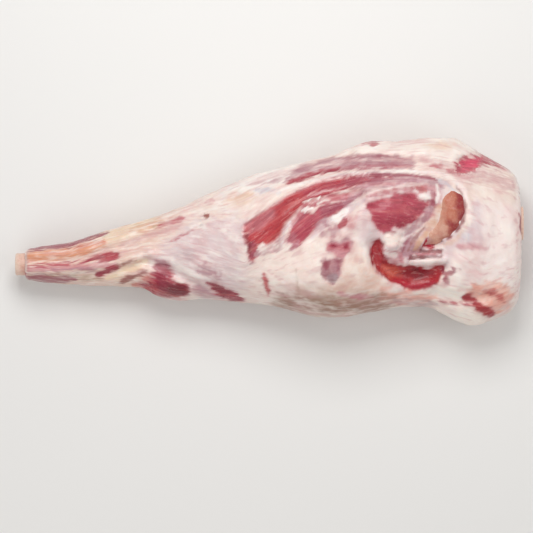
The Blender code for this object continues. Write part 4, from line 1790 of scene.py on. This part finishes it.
@dataclass(frozen=True)
class FreshBoneFinish(RawFinish):
    """Fresh bone, split and sawn: smooth and damp, blushed with blood, with fine pores.

    It is duller than the meat, and its pores give it a faint grain. Real pores are about
    0.3 mm wide. They are drawn at 0.9 mm, which the render can show.
    """

    STAIN: ClassVar[Weave] = Weave(7.0, detail=4.0, roughness=0.6)
    PORES: ClassVar[Weave] = Weave(0.9, roughness=0.65)
    WEAVES: ClassVar[tuple[Weave, ...]] = (STAIN, PORES)
    TINGES: ClassVar[tuple[Tinge, ...]] = (
        Tinge(STAIN, 0.48, 0.68, 0.35, Tint.BLOOD_STAIN),
        Tinge(PORES, 0.54, 0.7, 0.28, Tint.DARK_PORE),
        Tinge(PORES, 0.44, 0.34, 0.22, Tint.PALE_PORE),
    )
    SKIN: ClassVar[dict[str, Any]] = {
        "Subsurface Weight": 0.1,
        "Subsurface Radius": (1.0, 0.5, 0.35),
        "Subsurface Scale": 1.5 * MM,
        "Coat Weight": 0.15,
        "Coat Roughness": 0.25,
    }

    pore_depth: float = 0.12
    stain_range: Point = (0.35, 0.65)
    stain_roughness: Point = (0.34, 0.5)

    def build(self) -> bpy.types.Material:
        """Writes the material, which reads the tint of its mesh.

        Returns:
            The material.
        """
        recipe = Recipe("fresh_bone")
        noises = self.noises(recipe)
        pores = {"Height": noises[self.PORES], "Distance": self.pore_depth * MM, "Strength": 1.0}
        stain = (noises[self.STAIN], *self.stain_range, *self.stain_roughness)
        recipe.shade(
            {
                "Base Color": self.colour(recipe, noises, {}),
                "Roughness": recipe.add("MapRange", stain).outputs[0],
                "Normal": recipe.add("Bump", pores).outputs[0],
                **self.SKIN,
            }
        )
        return recipe.material


@dataclass(frozen=True)
class Wash:
    """A thin stain over the whole meat where a ripple runs from a start to an end."""

    ripple: Ripple
    start: float
    end: float
    strength: float
    tint: Tint
    tissue: Tissue
    # whether only the sides and the underside take it
    below: bool = False


@dataclass
class Meat:
    """The whole of the meat: muscle, silverskin and fat in one skin."""

    BLUSH: ClassVar[Ripple] = Ripple(9.0, 21.0, 3, (0.35, 1.0, 0.8))
    MUSCLE: ClassVar[Ripple] = Ripple(17.0, 33.0, 3, (0.22, 1.0, 0.9))
    WASHES: ClassVar[tuple[Wash, ...]] = (
        Wash(BLUSH, 0.0, 0.6, 0.5, Tint.PINK_FAT, Tissue.FAT),
        Wash(MUSCLE, 0.12, 0.5, 0.55, Tint.PINK_VEIL, Tissue.VEIL, below=True),
        Wash(MUSCLE, 0.35, 0.7, 0.5, Tint.MAUVE_VEIL, Tissue.VEIL, below=True),
    )
    LUMPS: ClassVar[Ripple] = Ripple(9.0, 5.0)
    WRINKLES: ClassVar[Ripple] = Ripple(3.4, 7.0, stretch=(0.3, 1.0, 0.7))
    FIBRES: ClassVar[Ripple] = Ripple(2.2, 9.0, 1, (0.1, 1.0, 0.7))

    form: LegForm
    grain: Grain
    material: bpy.types.Material
    around: int = 240
    along: int = 410
    # how much closer the vertices stand on the inner side than below
    crowding: float = 0.42
    lump: float = 0.55
    wrinkle: float = 0.3
    fibre: float = 0.22
    # share of the lumps and wrinkles that muscle lacks, and of the fibres that fat has
    smoother_muscle: float = 0.6
    fibre_on_fat: float = 0.3
    # The ranges over which something comes in. First shares: how far up a point faces, and
    # the size of its ring.
    relief_facing: Point = (0.08, 0.5)
    relief_rings: Point = (0.25, 0.95)
    side_facing: Point = (-0.3, 0.05)
    shown_facing: Point = (-0.32, 0.02)
    # Then millimetres: from each end, and above the surface that the leg rests on.
    chump_face: Point = (-7.0, -2.5)
    shank_face: Point = (1.0, 3.5)
    resting: Point = (0.3, 4.0)

    def base_points(self, ball_points: Array) -> tuple[Array, Array]:
        """Draws the ball out to the leg's form.

        Args:
            ball_points: the vertices of a ball whose poles lie on X.

        Returns:
            Places in metres, and how far up each point faces, -1 to 1.
        """
        place, angle = pole_coordinates(ball_points)
        angle = angle + self.crowding * np.cos(angle)
        ring_x, ring_share = self.form.rings(self.along)
        rings = np.arange(self.along + 1) / self.along
        x = np.interp(place, rings, ring_x)
        share = np.interp(place, rings, ring_share)
        middle, half_width, widest, above, below = self.form.section(x)
        facing = np.sin(angle)
        power = np.where(facing > 0, self.form.crown_power, self.form.underside_power)
        across = np.sign(np.cos(angle)) * np.abs(np.cos(angle)) ** (2.0 / power)
        up = np.sign(facing) * np.abs(facing) ** (2.0 / power)
        y = middle + share * half_width * across
        z = widest + share * np.where(up > 0, above, below) * up
        relief = smooth_step(facing, *self.relief_facing) * smooth_step(share, *self.relief_rings)
        z += self.form.relief(x, y) * relief
        points = np.column_stack([x, y, z])
        outward = points - np.column_stack([x, middle, widest])
        outward /= np.maximum(np.linalg.norm(outward, axis=1), np.finfo(float).eps)[:, None]
        seed = Vector(self.form.lump_seed)
        spacing = self.form.lump_spacing * MM
        lumps = np.array([noise.noise(Vector(p) / spacing + seed) for p in points.tolist()])
        points += outward * (lumps * self.form.lump_height * MM)[:, None]
        return points, facing

    def paint(self, points: Array, facing: Array) -> Surface:
        """Paints every side of the meat.

        Args:
            points: places in metres.
            facing: how far up each point faces, -1 to 1.

        Returns:
            The painted surface.
        """
        x, y, z = (points / MM).T
        grain = np.column_stack([x, self.grain.across(x, y), z])
        surface = Surface.plain(points / MM, grain, Tint.OUTER_FAT)
        below = 1.0 - smooth_step(facing, *self.side_facing)
        for wash in self.WASHES:
            share = wash.strength * smooth_step(wash.ripple.at(grain), wash.start, wash.end)
            surface.blend(share * below if wash.below else share, wash.tint, wash.tissue)
        half = self.form.length / 2
        chump_face = smooth_step(x - half, *self.chump_face)
        shank_face = 1.0 - smooth_step(x + half, *self.shank_face)
        shown = smooth_step(facing, *self.shown_facing) * (1.0 - chump_face) * (1.0 - shank_face)
        for marks in (GROUND_MARKS, SHANK_MARKS, MUSCLE_MARKS, HIP_MARKS, CHUMP_MARKS):
            surface.draw(marks, (0, 1), shown)
        surface.draw(FACE_MARKS, (1, 2), chump_face)
        surface.draw(SHANK_FACE_MARKS, (1, 2), shank_face)
        return surface

    def detail(self, surface: Surface) -> Array:
        """Relief finer than the solid's: lumps and wrinkles of fat, fibres, and raised marks.

        Args:
            surface: the painted surface.

        Returns:
            Metres along each vertex's normal.
        """
        lumps = self.LUMPS.at(surface.points) * self.lump
        wrinkles = self.WRINKLES.at(surface.grain) * self.wrinkle
        fibres = self.FIBRES.at(surface.grain) * self.fibre
        height = (lumps + wrinkles) * (1.0 - self.smoother_muscle * surface.lean)
        height += fibres * (self.fibre_on_fat + surface.lean)
        return (height + surface.rise) * smooth_step(surface.points[:, 2], *self.resting) * MM

    def build(self) -> bpy.types.Object:
        """Makes the meat.

        Returns:
            One object that stands for the node leg_meat.
        """
        made = finish_mesh(ball(self.around, self.along), "leg_meat_dressed", self.material)
        data = made.data
        points, facing = self.base_points(read_vectors(data.vertices, "co"))
        place_vertices(data, points)
        surface = self.paint(points, facing)
        outward = read_vectors(data.vertex_normals, "vector")
        points = points + outward * self.detail(surface)[:, None]
        low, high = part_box("leg_meat")
        place_vertices(data, np.clip(points, np.array(low), np.array(high)))
        add_colours(data, "tint", surface.tint)
        add_values(data, "lean", surface.lean)
        add_vectors(data, "grain", surface.grain * MM)
        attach(made, BODY)
        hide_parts("leg_meat")
        return made


@dataclass(frozen=True)
class Flush:
    """A tint that the hip bone takes over some of its length and width.

    Attributes:
        tint: the colour.
        weights: how much the place along the bone counts, the place across it, and the
            blotches.
        start: where that sum is low enough for none of it.
        end: where the sum is high enough for all of it.
        strength: its greatest share.
        from_tail: the places along the bone between which it comes in.
    """

    tint: Tint
    weights: tuple[float, float, float]
    start: float
    end: float
    strength: float = 1.0
    from_tail: Point = (-1.0, 0.0)


@dataclass
class HipBone:
    """The part of the hip bone that lies open in the hollow."""

    KNOBBLES: ClassVar[Ripple] = Ripple(6.0, 17.0, 3)
    BLOTCHES: ClassVar[Ripple] = Ripple(8.0, 3.0, 3)
    FLUSHES: ClassVar[tuple[Flush, ...]] = (
        Flush(Tint.TAN_BONE, (1.0, 0.0, 0.12), 0.22, 0.4),
        Flush(Tint.ORANGE_BONE, (1.0, 0.12, 0.15), 0.45, 0.7),
        Flush(Tint.RED_BONE, (0.0, 1.0, 0.5), -0.15, 0.7, from_tail=(0.3, 0.6)),
        Flush(Tint.PALE_BONE, (0.0, -1.0, 0.35), 0.35, 0.95, strength=0.4),
    )

    form: LegForm
    material: bpy.types.Material
    # X and Y of the bone's line and its radius
    line: tuple[tuple[float, float, float], ...] = (
        (160, 37, 8),
        (161.5, 28, 11),
        (161.5, 18, 11.8),
        (158.5, 8, 11.3),
        (153, -0.5, 10.2),
        (146, -6, 8),
        (138, -10, 4.4),
        (120, -15.5, 4.2),
    )
    depth: float = 3.5
    crown_share: float = 0.62
    most_lean: float = 0.45
    around: int = 90
    along: int = 150
    knobble: float = 0.5
    # how far ahead and behind the line is read for its direction
    heading_reach: float = 2.0

    def __post_init__(self) -> None:
        """Lays the bone's line a little under the surface of the hollow."""
        line = np.array(self.line) * MM
        heights = self.form.top_height(line[:, 0], line[:, 1]) - self.depth * MM
        self.points = np.column_stack([line[:, :2], heights])
        self.radii = line[:, 2]
        steps = np.linalg.norm(np.diff(self.points, axis=0), axis=1)
        self.marks = np.concatenate([[0.0], np.cumsum(steps)])

    def on_line(self, travelled: Array) -> Array:
        """Points at some distance along the bone's line."""
        return np.column_stack([np.interp(travelled, self.marks, c) for c in self.points.T])

    def build(self) -> bpy.types.Object:
        """Makes the bone.

        Returns:
            One object that stands for the node hip_bone.
        """
        made = finish_mesh(ball(self.around, self.along), "hip_bone_dressed", self.material)
        data = made.data
        place, angle = pole_coordinates(read_vectors(data.vertices, "co"))
        # The size follows a quarter circle over the last radius, so that the ends are round.
        length = self.marks[-1]
        travelled = length * (1.0 - np.cos(place * math.pi)) / 2
        radius = np.interp(travelled, self.marks, self.radii)
        from_end = np.clip(np.minimum(travelled, length - travelled) / radius, 0.0, 1.0)
        size = radius * np.sqrt(1.0 - (1.0 - from_end) ** 2)
        reach = self.heading_reach * MM
        ahead = self.on_line(travelled + reach) - self.on_line(travelled - reach)
        side = np.column_stack([-ahead[:, 1], ahead[:, 0]])
        side /= np.linalg.norm(side, axis=1)[:, None]
        crown = np.where(np.sin(angle) > 0, self.crown_share, 1.0)
        moved = self.on_line(travelled)
        # The bone leans the way that the surface it lies in slopes.
        margins = [moved[:, :2] + side * (way * radius)[:, None] for way in (1.0, -1.0)]
        right, left = (self.form.top_height(*margin.T) for margin in margins)
        lean = np.clip((right - left) / (2.0 * radius), -self.most_lean, self.most_lean)
        moved[:, :2] += side * (size * np.cos(angle))[:, None]
        moved[:, 2] += size * (crown * np.sin(angle) + lean * np.cos(angle))
        place_vertices(data, moved)
        outward = read_vectors(data.vertex_normals, "vector")
        knobbles = (self.KNOBBLES.at(moved / MM) - 1.0) * self.knobble * MM
        place_vertices(data, moved + outward * knobbles[:, None])
        along = 1.0 - travelled / length
        add_colours(data, "tint", self.colours(moved / MM, along, np.cos(angle)))
        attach(made, BODY)
        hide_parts("hip_bone")
        return made

    def colours(self, points: Array, along: Array, across: Array) -> Array:
        """Orange-tan bone, red along its margin towards +X and pink at its tail.

        Args:
            points: places in millimetres.
            along: 0 at the tail and 1 at the head.
            across: 1 at the margin towards +X and -1 at the one towards the hollow.

        Returns:
            One linear colour for each vertex.
        """
        places = np.column_stack([along, across, self.BLOTCHES.at(points)])
        made = np.tile(rgb(Tint.PINK_BONE), (len(points), 1))
        for flush in self.FLUSHES:
            share = smooth_step(places @ np.array(flush.weights), flush.start, flush.end)
            share *= flush.strength * smooth_step(along, *flush.from_tail)
            made += share[:, None] * (rgb(flush.tint) - made)
        return made


@dataclass
class SawnBone:
    """A bone sawn flat: a ring of hard bone round its marrow.

    Attributes:
        node: the node that it stands for.
        material: its finish.
        at: the middle of the bone where it leaves the meat.
        faces: the way that it points along X, 1 or -1.
        root: how deep it goes into the meat.
        stands_out: how far it stands out of it.
        radius: its radius before it is made oval.
        oval: how wide and how high it is, as shares of the radius.
    """

    node: str
    material: bpy.types.Material
    at: tuple[float, float, float]
    faces: float
    root: float
    stands_out: float
    radius: float
    oval: Point
    wall: float = 3.4
    rounding: float = 0.6
    marrow_depth: float = 1.2
    marrow_crown: float = 0.4
    sides: int = 72
    root_share: float = 0.92
    # shares of the length and of the marrow's radius at which the outline has points
    side_stops: tuple[float, ...] = (0.4, 0.6, 0.8)
    marrow_stops: tuple[float, ...] = (0.9, 0.6, 0.3, 0.0)
    rim_points: int = 5
    weld: float = 0.01
    # where marrow turns to bone, from the ring's inner edge, and where the side turns duller,
    # from the sawn face and from the meat
    marrow_edge: Point = (-0.8, 0.2)
    side_edge: Point = (0.5, 3.0)
    side_strength: float = 0.6

    def outline(self) -> list[Point]:
        """The half outline that the bone is turned from.

        Returns:
            Distance from the axis and height above the root, in millimetres.
        """
        length = self.root + self.stands_out
        inner = self.radius - self.wall
        floor = length - self.marrow_depth
        rim = np.linspace(self.radius - self.rounding, inner, self.rim_points)
        return [
            (0.0, 0.0),
            (self.radius * self.root_share, 0.0),
            *((self.radius, length * share) for share in self.side_stops),
            (self.radius, length - self.rounding),
            *((radius, length) for radius in rim),
            *((inner * s, floor + (1.0 - s) * self.marrow_crown) for s in self.marrow_stops),
        ]

    def build(self) -> bpy.types.Object:
        """Makes the bone.

        Returns:
            One object that stands for its node.
        """
        mesh = bmesh.new()
        rim = [mesh.verts.new((r * MM, 0.0, z * MM)) for r, z in self.outline()]
        edges = [mesh.edges.new(pair) for pair in zip(rim[:-1], rim[1:])]
        bmesh.ops.spin(
            mesh,
            geom=rim + edges,
            cent=(0.0, 0.0, 0.0),
            axis=(0.0, 0.0, 1.0),
            angle=2 * math.pi,
            steps=self.sides,
            use_merge=True,
        )
        bmesh.ops.remove_doubles(mesh, verts=mesh.verts, dist=self.weld * MM)
        across, high = self.oval
        bmesh.ops.scale(mesh, vec=(high, across, 1.0), verts=mesh.verts)
        turn = Matrix.Rotation(math.copysign(math.pi / 2, self.faces), 3, "Y")
        bmesh.ops.rotate(mesh, verts=mesh.verts, matrix=turn)
        start = Vector(self.at) * MM - Vector((self.faces * self.root * MM, 0.0, 0.0))
        bmesh.ops.translate(mesh, vec=start, verts=mesh.verts)
        made = finish_mesh(mesh, f"{self.node}_dressed", self.material)
        self.dress(made.data)
        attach(made, BODY)
        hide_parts(self.node)
        return made

    def dress(self, data: bpy.types.Mesh) -> None:
        """Tints the marrow, the hard ring and the bone's side.

        Args:
            data: the bone's mesh.
        """
        points = read_vectors(data.vertices, "co")
        across, high = self.oval
        away = points / MM - np.array(self.at)
        inner = self.radius - self.wall
        out = np.hypot(away[:, 1] / across, away[:, 2] / high) - inner
        from_face, into_meat = self.side_edge
        behind = -away[:, 0] * self.faces
        side = self.side_strength * smooth_step(behind, from_face - self.stands_out, into_meat)
        marrow = 1.0 - smooth_step(out, *self.marrow_edge)
        made = np.tile(rgb(Tint.HARD_BONE), (len(points), 1))
        for share, tint in ((side, Tint.BONE_SIDE), (marrow, Tint.MARROW)):
            made += share[:, None] * (rgb(tint) - made)
        add_colours(data, "tint", made)


@dataclass(frozen=True)
class Lamp:
    """A soft square light: its place and size, and its power in watts."""

    name: str
    at: tuple[float, float, float]
    size: float
    power: float


@dataclass
class Studio:
    """A pale floor, soft light, and a camera that looks straight down at the leg."""

    lamps: tuple[Lamp, ...] = (
        Lamp("key", (-60, 640, 900), 600.0, 7.4),
        Lamp("fill", (-500, -650, 800), 900.0, 2.6),
        Lamp("rim", (700, -100, 700), 800.0, 1.8),
    )
    world_strength: float = 0.38
    look_at: tuple[float, float, float] = (-5.0, -33.0, 62.0)
    frame_width: float = 479.7
    lens: float = 200.0
    sensor: float = 36.0
    floor_reach: float = 3000.0
    floor_roughness: float = 0.9

    def build(self) -> None:
        """Makes the floor, the lights, the world and the camera."""
        scene = bpy.context.scene
        self.floor()
        for lamp in self.lamps:
            self.light(lamp)
        world = bpy.data.worlds.new("studio")
        world.use_nodes = True
        background = world.node_tree.nodes["Background"]
        background.inputs["Color"].default_value = linear(Tint.WORLD.value)
        background.inputs["Strength"].default_value = self.world_strength
        scene.world = world
        scene.view_settings.view_transform = "Standard"
        scene.camera = self.camera()

    def floor(self) -> bpy.types.Object:
        """Makes a plain matt floor under the leg.

        Returns:
            The floor.
        """
        mesh = bmesh.new()
        bmesh.ops.create_grid(mesh, x_segments=1, y_segments=1, size=self.floor_reach * MM)
        recipe = Recipe("pale_floor")
        colour = linear(Tint.FLOOR.value)
        recipe.shade({"Base Color": colour, "Roughness": self.floor_roughness})
        return finish_mesh(mesh, "floor", recipe.material)

    def light(self, lamp: Lamp) -> None:
        """Adds a light that faces the leg.

        Args:
            lamp: which light.
        """
        data = bpy.data.lights.new(lamp.name, "AREA")
        data.size = lamp.size * MM
        data.energy = lamp.power
        made = bpy.data.objects.new(lamp.name, data)
        made.location = Vector(lamp.at) * MM
        towards = Vector(self.look_at) - Vector(lamp.at)
        made.rotation_euler = towards.to_track_quat("-Z", "Y").to_euler()
        bpy.context.scene.collection.objects.link(made)

    def camera(self) -> bpy.types.Object:
        """Adds a camera over the leg with +Y at the top of its frame.

        Returns:
            The camera.
        """
        data = bpy.data.cameras.new("camera")
        data.lens = self.lens
        data.sensor_width = self.sensor
        made = bpy.data.objects.new("camera", data)
        distance = self.frame_width * self.lens / self.sensor
        made.location = (Vector(self.look_at) + Vector((0.0, 0.0, distance))) * MM
        bpy.context.scene.collection.objects.link(made)
        return made


def main() -> None:
    """Builds the dressed leg and its studio."""
    logging.basicConfig(level=logging.INFO, format="%(name)s: %(message)s")
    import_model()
    form = LegForm()
    bone = FreshBoneFinish().build()
    pieces = [
        Meat(form, Grain(), RawMeatFinish().build()).build(),
        HipBone(form, bone).build(),
        SawnBone(
            node="shank_bone",
            material=bone,
            at=(-225.0, -31.0, 22.0),
            faces=-1.0,
            root=22.0,
            stands_out=9.0,
            radius=9.0,
            oval=(1.12, 0.94),
        ).build(),
        SawnBone(
            node="chump_bone",
            material=bone,
            at=(225.0, 6.0, 46.0),
            faces=1.0,
            root=12.0,
            stands_out=2.5,
            radius=8.0,
            oval=(1.9, 0.85),
        ).build(),
    ]
    Studio().build()
    for piece in pieces:
        LOG.info("%s has %d faces", piece.name, len(piece.data.polygons))


if __name__ == "__main__":
    main()
